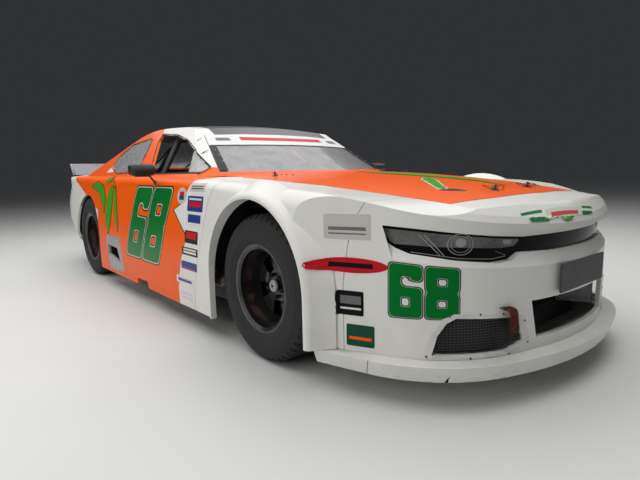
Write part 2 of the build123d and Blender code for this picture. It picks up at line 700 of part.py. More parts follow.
# bulkhead y, opening half width, opening bottom and top, lowest z, thickness
BULKHEADS = [(-2000, 280, 240, 560, 180, sheet), (-1850, 560, 130, 700, 180, sheet),
             (1990, 420, 235, 700, 180, sheet), (2320, 500, 235, 800, 180, sheet)]
with BuildPart() as plates:
    for y, hole_x, hole_low, hole_high, low, thickness in BULKHEADS:
        add(box(-1200, 1200, y, y + thickness, low, 1200))
        add(box(-hole_x, hole_x, y - 1, y + thickness + 1, hole_low, hole_high), mode=Mode.SUBTRACT)
    add(box(-1200, 1200, firewall_y - sheet, firewall_y, floor_z, 1200))
    add(box(-tunnel_x + sheet, tunnel_x - sheet, firewall_y - 10, firewall_y + 5, 0, tunnel_z - sheet),
        mode=Mode.SUBTRACT)
with BuildPart() as bulkheads:
    add(plates.part)
    add(body_clear, mode=Mode.INTERSECT)
    add(frame.part, mode=Mode.SUBTRACT)
    add(tube(EXHAUST_RUN, exhaust_radius + 8), mode=Mode.SUBTRACT)
bulkheads.part.label = "bulkheads"
export_step(bulkheads.part, "parts/bulkheads.step")


# ---------------------------------------------------------------- cage
hoop_y, screen_bar_y = 330, -60
hoop_x, halo_x = 660, 500
halo_z = 1148
leg_z = rail_top_z
with BuildPart() as side_bars:
    add(tube([(hoop_x, -590, leg_z), (hoop_x, -590, 790), (halo_x, screen_bar_y, halo_z),
              (halo_x, hoop_y, halo_z), (front_rail_x, 1500, rear_rail_z + 80)], halo_radius))
    for z in (360, 490, 620):
        add(tube([(hoop_x, -590, z), (800, -380, z), (800, 120, z), (hoop_x, hoop_y, z)], brace_radius))
    add(tube([(front_rail_x, -2150, rail_top_z), (front_rail_x, -1980, 560), (500, -1300, 620), (560, -780, 700)],
             brace_radius))
with BuildPart() as roll_cage:
    hoop = [(hoop_x, hoop_y, leg_z), (hoop_x, hoop_y, 860), (halo_x, hoop_y, halo_z)]
    add(tube(hoop + [(-x, y, z) for x, y, z in reversed(hoop)], hoop_radius))
    add(tube([(-halo_x, screen_bar_y, halo_z), (halo_x, screen_bar_y, halo_z)], brace_radius))
    add(tube([(-hoop_x, hoop_y, leg_z + 60), (halo_x, hoop_y, halo_z)], brace_radius))
    add(tube([(-hoop_x, -590, 790), (hoop_x, -590, 790)], brace_radius))
    add(side_bars.part)
    add(mirror(side_bars.part, about=Plane.YZ))
    add(box(-1200, 1200, -beyond, firewall_y - 20, 0, rail_top_z + seat_gap), mode=Mode.SUBTRACT)
    add(box(-1200, 1200, firewall_y - 20, beyond, 0, floor_z + sheet + seat_gap), mode=Mode.SUBTRACT)
    add(plates.part, mode=Mode.SUBTRACT)
    add(frame.part, mode=Mode.SUBTRACT)
roll_cage.part.label = "roll_cage"
export_step(roll_cage.part, "parts/roll_cage.step")

# ---------------------------------------------------------------- cabin
seat_x = 380
with BuildPart() as seat:
    floor_top = floor_z + sheet + seat_gap
    with BuildSketch(Plane.YZ.offset(seat_x - 215)):
        with BuildLine():
            Polyline((-330, floor_top), (140, floor_top), (250, 880), (250, 960), (150, 960), (20, 330), (-300, 360),
                     (-350, 330), close=True)
        make_face()
    extrude(amount=430)
seat.part.label = "seat"
export_step(seat.part, "parts/seat.step")

with BuildPart() as dashboard:
    add(prism_x([(-585, 640), (-500, 640), (-455, 700), (-470, 800), (-560, 812), (-585, 760)], -600, 600))
    add(roll_cage.part, mode=Mode.SUBTRACT)
dashboard.part.label = "dashboard"
export_step(dashboard.part, "parts/dashboard.step")

column_start, column_end = Vector(seat_x, -458, 672), Vector(seat_x, -215, 735)
column_axis = (column_end - column_start).normalized()
with BuildPart() as steering_column:
    with BuildSketch(Plane(origin=column_start, z_dir=column_axis)):
        Circle(20)
    extrude(amount=(column_end - column_start).length - seat_gap)
    add(dashboard.part, mode=Mode.SUBTRACT)
steering_column.part.label = "steering_column"
export_step(steering_column.part, "parts/steering_column.step")

wheel_plane = Plane(origin=column_end, x_dir=(1, 0, 0), z_dir=column_axis)
with BuildPart() as steering_wheel:
    with BuildSketch(wheel_plane):
        Circle(38)
    extrude(amount=30)
    with BuildSketch(wheel_plane.offset(20)):
        with PolarLocations(0, 3, start_angle=90):
            with Locations((85, 0)):
                Rectangle(170, 30)
    extrude(amount=5)
    rim_plane = Plane(origin=wheel_plane.origin + wheel_plane.z_dir * 22 + wheel_plane.x_dir * 172,
                      x_dir=wheel_plane.x_dir, z_dir=wheel_plane.y_dir)
    with BuildSketch(rim_plane):
        Circle(14)
    revolve(axis=Axis(wheel_plane.origin, wheel_plane.z_dir))
steering_wheel.part.label = "steering_wheel"
export_step(steering_wheel.part, "parts/steering_wheel.step")

# ---------------------------------------------------------------- drive line
engine_front_y, engine_rear_y = -1840, -1120
with BuildPart() as engine:
    add(prism_y([(-180, 232), (180, 232), (200, 420), (330, 590), (250, 690), (-250, 690), (-330, 590), (-200, 420)],
                engine_front_y + 60, engine_rear_y))
    for side in (-1, 1):
        x_near, x_far = sorted((side * 180, side * (front_rail_x - half - seat_gap)))
        add(box(x_near, x_far, -1400, -1330, 180, 300))
    add(box(-front_rail_x + half, front_rail_x - half, -1700, -1625, 0, rail_top_z + 1), mode=Mode.SUBTRACT)
engine.part.label = "engine"
export_step(engine.part, "parts/engine.step")

drive_z = 340
with BuildPart() as drive_line:
    with BuildSketch(Plane.YZ):
        with BuildLine():
            Polyline((engine_rear_y + seat_gap, drive_z), (engine_rear_y + seat_gap, drive_z + 170),
                     (-1040, drive_z + 170), (-880, drive_z + 85), (-300, drive_z + 85), (-290, drive_z + 40),
                     (1180, drive_z + 40), (1190, drive_z + 60), (1214, drive_z + 60), (1214, drive_z), close=True)
        make_face()
    revolve(axis=Axis((0, 0, drive_z), (0, 1, 0)))
drive_line.part.label = "drive_line"
export_step(drive_line.part, "parts/drive_line.step")

with BuildPart() as radiator:
    add(box(-300, 300, -2060, -2000 - seat_gap, rail_top_z - 30, 580))
    for side in (-1, 1):
        duct = [(side * 300, -2060), (side * 300, -2010), (side * 306, -2010), (side * 345, -2340), (side * 341, -2340)]
        add(prism_z(duct, rail_top_z + 5, 400))
radiator.part.label = "radiator"
export_step(radiator.part, "parts/radiator.step")

with BuildPart() as fuel_cell:
    add(box(-330, 330, 1720, 2120, 250, rear_rail_z + 60))
    add(box(-front_rail_x + half + seat_gap, front_rail_x - half - seat_gap, 1760, 1800, rear_rail_z + 20, rear_rail_z + 50))
fuel_cell.part.label = "fuel_cell"
export_step(fuel_cell.part, "parts/fuel_cell.step")

with BuildPart() as exhaust:
    add(tube(EXHAUST_RUN, exhaust_radius))
    add(engine.part, mode=Mode.SUBTRACT)
exhaust.part.label = "exhaust"
export_step(exhaust.part, "parts/exhaust.step")

# ---------------------------------------------------------------- wheels and suspension
hub_face_x = wheel_centre_x - 27
rim_half_width = 128
bead_radius = 190


def ring(profile):
    """A turned solid from (distance from the wheel's middle, radius) points, turned about X."""
    with BuildPart() as turned:
        with BuildSketch(Plane.XY):
            with BuildLine():
                Polyline(*profile, close=True)
            make_face()
        revolve(axis=Axis.X)
    return turned.part


BARREL = [(-rim_half_width, 207), (-rim_half_width, 199), (-118, 184), (118, 184), (rim_half_width, 199),
          (rim_half_width, 207), (116, bead_radius), (-116, bead_radius)]
DISH = [(2, 187), (12, 187), (25, 150), (28, 95), (24, 80), (24, 31), (44, 31), (44, 0), (-10, 0), (-10, 62),
        (16, 62), (20, 95), (17, 148)]
ROTOR = [(-27, 0), (-27, 152), (-9, 152), (-9, 0)]
TYRE = [(-115, bead_radius + seat_gap), (-126, 207.5), (-tyre_width / 2, 262), (-138, 304), (-118, 338),
        (-100, tyre_radius), (100, tyre_radius), (118, 338), (138, 304), (tyre_width / 2, 262), (126, 207.5),
        (115, bead_radius + seat_gap)]

with BuildPart() as wheel_blank:
    add(ring(DISH))
    with BuildSketch(Plane.YZ.offset(-4)):
        with PolarLocations(0, 5, start_angle=90):
            with Locations((112, 0)):
                Trapezoid(84, 76, 78, rotation=90)
    extrude(amount=60, mode=Mode.SUBTRACT)
    add(ring(BARREL))
    add(ring(ROTOR))
tyre_blank = ring(TYRE)

for name, side in SIDES:
    for end, axle_y in (("front_", front_axle_y), ("rear_", rear_axle_y)):
        place = Pos(side * wheel_centre_x, axle_y, tyre_radius) * Rot(0, 0 if side > 0 else 180, 0)
        wheel = place * wheel_blank.part
        wheel.label = "wheel_" + end + name
        export_step(wheel, "parts/" + wheel.label + ".step")
        tyre = place * tyre_blank
        tyre.label = "tyre_" + end + name
        export_step(tyre, "parts/" + tyre.label + ".step")

for name, side in SIDES:
    with BuildPart() as knuckle:
        x = side * kingpin_x
        add(box(*sorted((x - 12, x + 12)), front_axle_y - 30, front_axle_y + 30, tyre_radius - 110, tyre_radius + 110))
        with BuildSketch(Plane(origin=(x, front_axle_y, tyre_radius), z_dir=(side, 0, 0))):
            Circle(45)
        extrude(amount=hub_face_x - seat_gap - kingpin_x)
        add(box(*sorted((x - side * 90, x)), front_axle_y + 30, front_axle_y + 50, tyre_radius - 70, tyre_radius - 50))
    knuckle.part.label = "knuckle_" + name
    export_step(knuckle.part, "parts/knuckle_" + name + ".step")

with BuildPart() as front_suspension:
    for side in (-1, 1):
        for z, ball_z in ((rail_top_z - 60, tyre_radius - 126), (rail_top_z + 200, tyre_radius + 126)):
            ball = (side * kingpin_x, front_axle_y, ball_z)
            for reach in (-150, 150):
                inner = (side * (front_rail_x + half - 4), front_axle_y + reach, z)
                add(tube([inner, ball], 13))
            with Locations(ball):
                Cylinder(ball_radius, 2 * (16 - seat_gap))
        tower = box(*sorted((side * front_rail_x - half, side * front_rail_x + half)), front_axle_y - 190,
                    front_axle_y + 190, rail_top_z + seat_gap, rail_top_z + 220)
        add(tower)
        add(box(*sorted((side * front_rail_x - half - 1, side * front_rail_x + half + 1)), front_axle_y - 150,
                front_axle_y + 150, rail_top_z + 30, rail_top_z + 190), mode=Mode.SUBTRACT)
    add(frame.part, mode=Mode.SUBTRACT)
front_suspension.part.label = "front_suspension"
export_step(front_suspension.part, "parts/front_suspension.step")

with BuildPart() as rear_axle:
    end = hub_face_x - seat_gap
    with BuildSketch(Plane.YZ.offset(-end)):
        with Locations((rear_axle_y, tyre_radius)):
            Circle(40)
    extrude(amount=2 * end)
    with Locations((0, rear_axle_y, tyre_radius)):
        Sphere(132)
rear_axle.part.label = "rear_axle"
export_step(rear_axle.part, "parts/rear_axle.step")

with BuildPart() as rear_suspension:
    for side in (-1, 1):
        x = side * front_rail_x
        with Locations((x, rear_axle_y, (tyre_radius + 40 + rear_rail_z) / 2)):
            Cylinder(52, rear_rail_z - tyre_radius - 40 - 2 * seat_gap)
        add(tube([(x, rear_axle_y - 20, tyre_radius - 20), (side * 480, 900, rail_top_z - 40)], 20))
    add(rear_axle.part, mode=Mode.SUBTRACT)
    add(frame.part, mode=Mode.SUBTRACT)
rear_suspension.part.label = "rear_suspension"
export_step(rear_suspension.part, "parts/rear_suspension.step")
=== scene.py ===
import bpy
import bmesh
import json
import math
import random
from mathutils import Matrix, Vector
from mathutils.bvhtree import BVHTree


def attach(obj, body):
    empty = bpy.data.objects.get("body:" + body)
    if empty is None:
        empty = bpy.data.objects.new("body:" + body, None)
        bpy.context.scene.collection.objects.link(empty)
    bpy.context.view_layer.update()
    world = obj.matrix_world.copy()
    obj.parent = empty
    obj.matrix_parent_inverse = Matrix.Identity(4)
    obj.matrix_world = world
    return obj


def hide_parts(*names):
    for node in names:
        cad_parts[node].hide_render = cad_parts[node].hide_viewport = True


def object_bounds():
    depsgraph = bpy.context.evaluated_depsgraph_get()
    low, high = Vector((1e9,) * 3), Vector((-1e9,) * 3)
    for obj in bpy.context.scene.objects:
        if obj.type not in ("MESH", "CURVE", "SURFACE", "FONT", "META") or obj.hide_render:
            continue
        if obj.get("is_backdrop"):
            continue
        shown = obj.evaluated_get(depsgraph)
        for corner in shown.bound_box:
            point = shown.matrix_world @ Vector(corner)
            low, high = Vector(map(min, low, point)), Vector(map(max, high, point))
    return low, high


# A stock car, dressed around its CAD frame. Metres; the nose points along -Y, +X is the driver's left.
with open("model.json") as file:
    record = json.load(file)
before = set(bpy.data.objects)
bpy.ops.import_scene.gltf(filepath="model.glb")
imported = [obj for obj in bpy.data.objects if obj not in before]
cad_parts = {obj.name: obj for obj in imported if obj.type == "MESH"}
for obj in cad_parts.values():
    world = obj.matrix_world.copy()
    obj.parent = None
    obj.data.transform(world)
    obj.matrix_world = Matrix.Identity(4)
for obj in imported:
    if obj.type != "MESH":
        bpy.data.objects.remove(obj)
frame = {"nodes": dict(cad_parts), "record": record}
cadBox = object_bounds()
nodes = frame["nodes"]
scene = bpy.context.scene
scene.view_settings.view_transform = "Standard"
sides = {"right": -1, "left": 1}
print("stage: frame loaded,", len(nodes), "nodes")


# node helpers
def addNode(tree, kind, inputs=None, **settings):
    made = tree.nodes.new(kind)
    for name, value in settings.items():
        setattr(made, name, value)
    for socket, value in (inputs or {}).items():
        if isinstance(value, bpy.types.NodeSocket):
            tree.links.new(value, made.inputs[socket])
        else:
            made.inputs[socket].default_value = value
    return made


def maths(tree, operation, a, b=0.0, c=0.0):
    return addNode(tree, "ShaderNodeMath", {0: a, 1: b, 2: c}, operation=operation).outputs[0]


def times(tree, a, b):
    return maths(tree, "MULTIPLY", a, b)


def mixColour(tree, factor, a, b):
    return addNode(tree, "ShaderNodeMix", {0: factor, 6: a, 7: b}, data_type="RGBA").outputs[2]


def noise(tree, vector, scale, detail=2.0, rough=0.5):
    made = addNode(tree, "ShaderNodeTexNoise", {"Vector": vector, "Scale": scale, "Detail": detail,
                                                "Roughness": rough})
    return made.outputs["Fac"]


def stretch(tree, value, low, high, outLow=0.0, outHigh=1.0):
    made = addNode(tree, "ShaderNodeMapRange", {"Value": value, "From Min": low, "From Max": high,
                                                "To Min": outLow, "To Max": outHigh})
    return made.outputs[0]


def rgba(red, green, blue):
    return (red, green, blue, 1.0)


def grey(level):
    return rgba(level, level, level)


def newGroup(name, inputs, outputs):
    group = bpy.data.node_groups.new(name, "ShaderNodeTree")
    for label, kind, value in inputs:
        socket = group.interface.new_socket(label, in_out="INPUT", socket_type=kind)
        if value is not None:
            socket.default_value = value
    for label, kind in outputs:
        group.interface.new_socket(label, in_out="OUTPUT", socket_type=kind)
    start = group.nodes.new("NodeGroupInput").outputs
    end = group.nodes.new("NodeGroupOutput").inputs
    return group, start, end


# effects that the materials share
def makeRoadGrime():
    group, start, end = newGroup(
        "roadGrime",
        [("Vector", "NodeSocketVector", None), ("Paint", "NodeSocketColor", grey(0.8)),
         ("Dirt", "NodeSocketColor", rgba(0.20, 0.17, 0.13)), ("Amount", "NodeSocketFloat", 0.25),
         ("Top", "NodeSocketFloat", 0.45), ("Gloss", "NodeSocketFloat", 0.2)],
        [("Color", "NodeSocketColor"), ("Roughness", "NodeSocketFloat"), ("Height", "NodeSocketFloat")])
    height = addNode(group, "ShaderNodeSeparateXYZ", {0: start["Vector"]}).outputs[2]
    low = addNode(group, "ShaderNodeMapRange", {"Value": height, "From Min": start["Top"], "From Max": 0.08,
                                                "To Min": 0.0, "To Max": 1.0}).outputs[0]
    cloud = stretch(group, noise(group, start["Vector"], 5.0, 5.0, 0.6), 0.42, 0.72)
    speck = stretch(group, noise(group, start["Vector"], 160.0, 2.0), 0.66, 0.74)
    film = times(group, maths(group, "ADD", times(group, low, 0.7), 0.12), cloud)
    spots = times(group, speck, maths(group, "ADD", times(group, low, 0.6), 0.1))
    mask = times(group, maths(group, "MAXIMUM", film, spots), start["Amount"])
    group.links.new(mixColour(group, mask, start["Paint"], start["Dirt"]), end["Color"])
    group.links.new(maths(group, "ADD", start["Gloss"], times(group, mask, 0.6)), end["Roughness"])
    group.links.new(noise(group, start["Vector"], 420.0, 1.0), end["Height"])
    return group


def makeGrain():
    group, start, end = newGroup(
        "grain",
        [("Vector", "NodeSocketVector", None), ("Base", "NodeSocketColor", grey(0.1)),
         ("Pale", "NodeSocketColor", grey(0.2)), ("Scale", "NodeSocketFloat", 200.0),
         ("Rough", "NodeSocketFloat", 0.6)],
        [("Color", "NodeSocketColor"), ("Roughness", "NodeSocketFloat"), ("Height", "NodeSocketFloat")])
    fine = noise(group, start["Vector"], start["Scale"], 3.0, 0.6)
    broad = stretch(group, noise(group, start["Vector"], 7.0, 4.0), 0.35, 0.75)
    group.links.new(mixColour(group, times(group, broad, fine), start["Base"], start["Pale"]),
                    end["Color"])
    group.links.new(maths(group, "ADD", start["Rough"], times(group, broad, 0.15)), end["Roughness"])
    group.links.new(fine, end["Height"])
    return group


def makeWeave():
    group, start, end = newGroup(
        "weave",
        [("Vector", "NodeSocketVector", None), ("Thread", "NodeSocketColor", grey(0.05)),
         ("Gap", "NodeSocketColor", grey(0.01)), ("Scale", "NodeSocketFloat", 700.0)],
        [("Color", "NodeSocketColor"), ("Height", "NodeSocketFloat")])
    scaled = addNode(group, "ShaderNodeVectorMath", {0: start["Vector"]}, operation="SCALE")
    group.links.new(start["Scale"], scaled.inputs["Scale"])
    axes = addNode(group, "ShaderNodeSeparateXYZ", {0: scaled.outputs[0]}).outputs
    along = maths(group, "SINE", maths(group, "ADD", axes[0], axes[2]))
    across = maths(group, "SINE", maths(group, "ADD", axes[1], axes[2]))
    height = stretch(group, times(group, along, across), -1.0, 1.0)
    group.links.new(mixColour(group, height, start["Gap"], start["Thread"]), end["Color"])
    group.links.new(height, end["Height"])
    return group


grimeGroup = makeRoadGrime()
grainGroup = makeGrain()
weaveGroup = makeWeave()


def newMaterial(name, **values):
    material = bpy.data.materials.new(name)
    material.use_nodes = True
    tree = material.node_tree
    shader = tree.nodes["Principled BSDF"]
    for socket, value in values.items():
        shader.inputs[socket.replace("_", " ")].default_value = value
    place = addNode(tree, "ShaderNodeTexCoord").outputs["Object"]
    return material, tree, shader, place


def bumpFrom(tree, shader, height, strength, distance):
    bump = addNode(tree, "ShaderNodeBump", {"Height": height, "Strength": strength, "Distance": distance})
    tree.links.new(bump.outputs[0], shader.inputs["Normal"])


def paint(name, colour, gloss=0.3, dirt=0.25, top=0.45, coat=0.3, shine=0.5):
    # lacquered body paint with road film low down; colour may be a mask built by the caller
    material, tree, shader, place = newMaterial(name, Coat_Weight=coat, Coat_Roughness=0.06,
                                                Specular_IOR_Level=shine)
    group = addNode(tree, "ShaderNodeGroup", node_tree=grimeGroup)
    tree.links.new(place, group.inputs["Vector"])
    for socket, value in (("Amount", dirt), ("Top", top), ("Gloss", gloss)):
        group.inputs[socket].default_value = value
    wanted = colour(tree, place) if callable(colour) else colour
    if isinstance(wanted, bpy.types.NodeSocket):
        tree.links.new(wanted, group.inputs["Paint"])
    else:
        group.inputs["Paint"].default_value = wanted
    tree.links.new(group.outputs["Color"], shader.inputs["Base Color"])
    tree.links.new(group.outputs["Color"], shader.inputs["Specular Tint"])
    tree.links.new(group.outputs["Roughness"], shader.inputs["Roughness"])
    bumpFrom(tree, shader, group.outputs["Height"], 0.12, 0.0004)
    return material


def grained(name, base, pale, scale=200.0, rough=0.6, bump=0.3, metallic=0.0, distance=0.001):
    # cast, moulded or sprayed surfaces with their own grain
    material, tree, shader, place = newMaterial(name, Metallic=metallic)
    group = addNode(tree, "ShaderNodeGroup", node_tree=grainGroup)
    tree.links.new(place, group.inputs["Vector"])
    for socket, value in (("Base", base), ("Pale", pale), ("Scale", scale), ("Rough", rough)):
        group.inputs[socket].default_value = value
    tree.links.new(group.outputs["Color"], shader.inputs["Base Color"])
    tree.links.new(group.outputs["Roughness"], shader.inputs["Roughness"])
    bumpFrom(tree, shader, group.outputs["Height"], bump, distance)
    return material


def woven(name, thread, gap, scale=700.0, sheen=0.4, rough=0.85):
    material, tree, shader, place = newMaterial(name, Roughness=rough, Sheen_Weight=sheen)
    group = addNode(tree, "ShaderNodeGroup", node_tree=weaveGroup)
    tree.links.new(place, group.inputs["Vector"])
    for socket, value in (("Thread", thread), ("Gap", gap), ("Scale", scale)):
        group.inputs[socket].default_value = value
    tree.links.new(group.outputs["Color"], shader.inputs["Base Color"])
    bumpFrom(tree, shader, group.outputs["Height"], 0.5, 0.0006)
    return material


def clear(name, tint, rough, index):
    # glass seen through, smeared in patches
    material, tree, shader, place = newMaterial(name, Transmission_Weight=1.0, IOR=index, Base_Color=tint)
    smear = stretch(tree, noise(tree, place, 9.0, 5.0, 0.65), 0.35, 0.8, rough, rough + 0.12)
    tree.links.new(smear, shader.inputs["Roughness"])
    return material


# colours, linear
orange = rgba(0.95, 0.118, 0.001)
offWhite = rgba(0.78, 0.77, 0.73)
green = rgba(0.002, 0.165, 0.024)
leafGreen = rgba(0.055, 0.36, 0.02)
ink = rgba(0.008, 0.008, 0.009)
signalRed = rgba(0.55, 0.012, 0.02)
deepBlue = rgba(0.02, 0.05, 0.22)
plateGrey = rgba(0.56, 0.54, 0.50)
primer = grey(0.36)
# dark grey for the middle of the roof top: a painted reflection, not the roof's own colour
roofReflectionGrey = rgba(0.075, 0.078, 0.080)


# camera, floor and light
cameraSet = {"place": (-2.0938, -3.241, 0.8739), "heading": 39.776, "downward": 8.061, "roll": -1.131,
             "focalPixels": 480.33, "framePixels": 640}


def makeCamera():
    heading, downward, roll = (math.radians(cameraSet[key]) for key in ("heading", "downward", "roll"))
    look = Vector((math.sin(heading) * math.cos(downward), math.cos(heading) * math.cos(downward),
                   -math.sin(downward)))
    level = Vector((math.cos(heading), -math.sin(heading), 0))
    above = level.cross(look)
    right = level * math.cos(roll) + above * math.sin(roll)
    up = above * math.cos(roll) - level * math.sin(roll)
    data = bpy.data.cameras.new("camera")
    data.sensor_width = 36
    data.lens = cameraSet["focalPixels"] / cameraSet["framePixels"] * data.sensor_width
    camera = bpy.data.objects.new("camera", data)
    turned = Matrix((right, up, -look)).transposed().to_4x4()
    turned.translation = cameraSet["place"]
    camera.matrix_world = turned
    scene.collection.objects.link(camera)
    scene.camera = camera


studio = {"floor": rgba(0.66, 0.66, 0.645), "background": rgba(0.030, 0.031, 0.033), "fill": 1.6,
          # name: width and depth, watts, place, aim
          "lamps": {"ceiling": ((24.0, 24.0), 1800.0, (-0.8, -0.6, 4.6), (0, 0, 0)),
                    "top": ((8.0, 9.0), 500.0, (0.0, 0.3, 4.5), (0.2, 0.3, 0)),
                    "front": ((4.0, 4.0), 120.0, (-8.0, -2.5, 3.6), (-0.4, -1.0, 0.5))}}


def makeStudio():
    bpy.ops.mesh.primitive_plane_add(size=80)
    floor = bpy.context.object
    floor.name = "studioFloor"
    material, tree, shader, place = newMaterial("studioFloor", Roughness=0.6)
    tint = stretch(tree, noise(tree, place, 0.7, 3.0), 0.3, 0.7)
    darker = tuple(channel * 0.96 for channel in studio["floor"][:3]) + (1.0,)
    tree.links.new(mixColour(tree, tint, studio["floor"], darker), shader.inputs["Base Color"])
    floor.data.materials.append(material)
    floor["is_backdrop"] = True
    world = bpy.data.worlds.new("studio")
    scene.world = world
    world.use_nodes = True
    tree = world.node_tree
    background = tree.nodes["Background"]
    path = addNode(tree, "ShaderNodeLightPath").outputs
    seen = maths(tree, "MAXIMUM", path["Is Camera Ray"],
                 maths(tree, "MAXIMUM", path["Is Glossy Ray"], path["Is Transmission Ray"]))
    tree.links.new(stretch(tree, seen, 0.0, 1.0, studio["fill"], 1.0), background.inputs["Strength"])
    background.inputs["Color"].default_value = studio["background"]
    for name, (size, power, spot, aim) in studio["lamps"].items():
        lamp = bpy.data.lights.new(name, "AREA")
        lamp.shape = "RECTANGLE"
        lamp.size, lamp.size_y = size
        lamp.energy = power
        light = bpy.data.objects.new(name, lamp)
        light.location = spot
        light.rotation_euler = (Vector(aim) - Vector(spot)).to_track_quat("-Z", "Y").to_euler()
        light.visible_glossy = name == "ceiling"
        light.visible_diffuse = name != "ceiling"
        scene.collection.objects.link(light)


makeCamera()
makeStudio()
print("stage: camera and studio")


# pieces
def worldMesh(name):
    # a CAD node's triangles in the row frame, merged, for casting rays at
    copy = bmesh.new()
    copy.from_mesh(nodes[name].data)
    copy.transform(nodes[name].matrix_world)
    bmesh.ops.remove_doubles(copy, verts=copy.verts, dist=1e-5)
    return copy


def surfaceOf(*names):
    joined = bmesh.new()
    for name in names:
        part = worldMesh(name)
        mesh = bpy.data.meshes.new("part")
        part.to_mesh(mesh)
        part.free()
        joined.from_mesh(mesh)
        bpy.data.meshes.remove(mesh)
    tree = BVHTree.FromBMesh(joined)
    joined.free()
    return tree


def makePiece(name, shape, material, smooth=None, body="chassis", replaces=()):
    # bmesh in, finished object out: at the origin, riding its body, with its finish
    mesh = bpy.data.meshes.new(name)
    shape.to_mesh(mesh)
    shape.free()
    piece = bpy.data.objects.new(name, mesh)
    scene.collection.objects.link(piece)
    for one in material if isinstance(material, (list, tuple)) else [material]:
        mesh.materials.append(one)
    if smooth is not None:
        mesh.shade_smooth()
        mesh.set_sharp_from_angle(angle=math.radians(smooth))
    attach(piece, body)
    if replaces:
        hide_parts(*replaces)
    return piece


def closeUp(shape):
    bmesh.ops.remove_doubles(shape, verts=shape.verts, dist=1e-6)
    bmesh.ops.recalc_face_normals(shape, faces=shape.faces)


def addBlock(shape, low, high, turn=None, bevel=0.0, segments=2):
    # a block between two corners, its edges rounded
    made = bmesh.ops.create_cube(shape, size=1.0)
    verts = made["verts"]
    size = Vector(high) - Vector(low)
    centre = (Vector(high) + Vector(low)) / 2
    bmesh.ops.scale(shape, vec=size, verts=verts)
    if bevel:
        edges = list({edge for vert in verts for edge in vert.link_edges})
        rounded = bmesh.ops.bevel(shape, geom=edges, offset=bevel, segments=segments, affect="EDGES",
                                  profile=0.5, material=-1)
        left = {vert for vert in verts if vert.is_valid}
        verts = list({vert for face in rounded["faces"] for vert in face.verts} | left)
    if turn is not None:
        bmesh.ops.transform(shape, matrix=turn.to_4x4(), verts=verts)
    bmesh.ops.translate(shape, vec=centre, verts=verts)
    return verts


def aimed(axis, place, along="X", up="Z"):
    # from a piece's own frame to a place, turned along an axis
    turn = Vector(axis).to_track_quat(along, up).to_matrix().to_4x4()
    turn.translation = place
    return turn


def addRod(shape, start, end, radius, segments=16, tip=None):
    axis, middle = Vector(end) - Vector(start), (Vector(start) + Vector(end)) / 2
    made = bmesh.ops.create_cone(shape, cap_ends=True, segments=segments, radius1=radius,
                                 radius2=radius if tip is None else tip, depth=axis.length,
                                 matrix=aimed(axis, middle, "Z", "Y"))
    return made["verts"]


def addRing(shape, centre, axis, radius, thickness, segments=32, around=10):
    # a torus: one small circle spun about its axis
    circle = bmesh.ops.create_circle(shape, segments=around, radius=thickness)
    verts = circle["verts"]
    bmesh.ops.rotate(shape, cent=(0, 0, 0), matrix=Matrix.Rotation(math.pi / 2, 3, "X"), verts=verts)
    bmesh.ops.translate(shape, vec=(radius, 0, 0), verts=verts)
    edges = list({edge for vert in verts for edge in vert.link_edges})
    bmesh.ops.spin(shape, geom=verts + edges, cent=(0, 0, 0), axis=(0, 0, 1), angle=2 * math.pi,
                   steps=segments, use_merge=True)
    found = set(verts)
    grow = list(found)
    while grow:
        vert = grow.pop()
        for edge in vert.link_edges:
            other = edge.other_vert(vert)
            if other not in found:
                found.add(other)
                grow.append(other)
    bmesh.ops.transform(shape, matrix=aimed(axis, centre, "Z", "Y"), verts=list(found))


def lathe(profile, segments):
    # a closed shape turned about X: profile points are (along the axis, radius)
    shape = bmesh.new()
    verts = [shape.verts.new((along, radius, 0)) for along, radius in profile]
    edges = [shape.edges.new(pair) for pair in zip(verts, verts[1:] + verts[:1])]
    bmesh.ops.spin(shape, geom=verts + edges, cent=(0, 0, 0), axis=(1, 0, 0), angle=2 * math.pi,
                   steps=segments, use_merge=True)
    closeUp(shape)
    return shape


# paint and finishes of the CAD nodes
livery = {"stripEdge": [(0.10, -0.591), (0.222, -0.593), (0.389, -0.638), (0.526, -0.712), (0.670, -0.520),
                        (0.709, -0.619), (0.827, -0.728), (1.0, -0.80)],
          "stripLimits": (-1.0, -0.4), "arrowLine": 0.007, "arrowFoot": 0.526, "arrowTop": 0.709,
          "quarterFoot": (1.43, 0.722), "quarterSlope": 0.293, "quarterFront": 1.0,
          "railFoot": (0.24, 0.93), "railSlope": 0.9, "pillarFoot": 0.915,
          # these four keys bound the painted reflection on the roof top
          "skinHalf": 0.50, "skinFront": -0.31, "skinRear": 0.98, "skinFoot": 1.10, "shellMiddle": 0.6}
wheelSpots = {"front": -1.393, "rear": 1.347}
axleHeight = 0.345


def edgeCurve(tree, value, points, low, high):
    # a straight-run curve through (input, output) points, both scaled to 0..1 inside the node
    start, end = points[0][0], points[-1][0]
    curve = addNode(tree, "ShaderNodeFloatCurve", {"Value": stretch(tree, value, start, end)})
    line = curve.mapping.curves[0]
    spots = [((at - start) / (end - start), (out - low) / (high - low)) for at, out in points]
    line.points[0].location = spots[0]
    line.points[1].location = spots[-1]
    for spot in spots[1:-1]:
        line.points.new(*spot)
    for point in line.points:
        point.handle_type = "VECTOR"
    curve.mapping.update()
    return stretch(tree, curve.outputs[0], 0.0, 1.0, low, high)


def between(tree, value, low, high):
    return times(tree, maths(tree, "GREATER_THAN", value, low), maths(tree, "LESS_THAN", value, high))


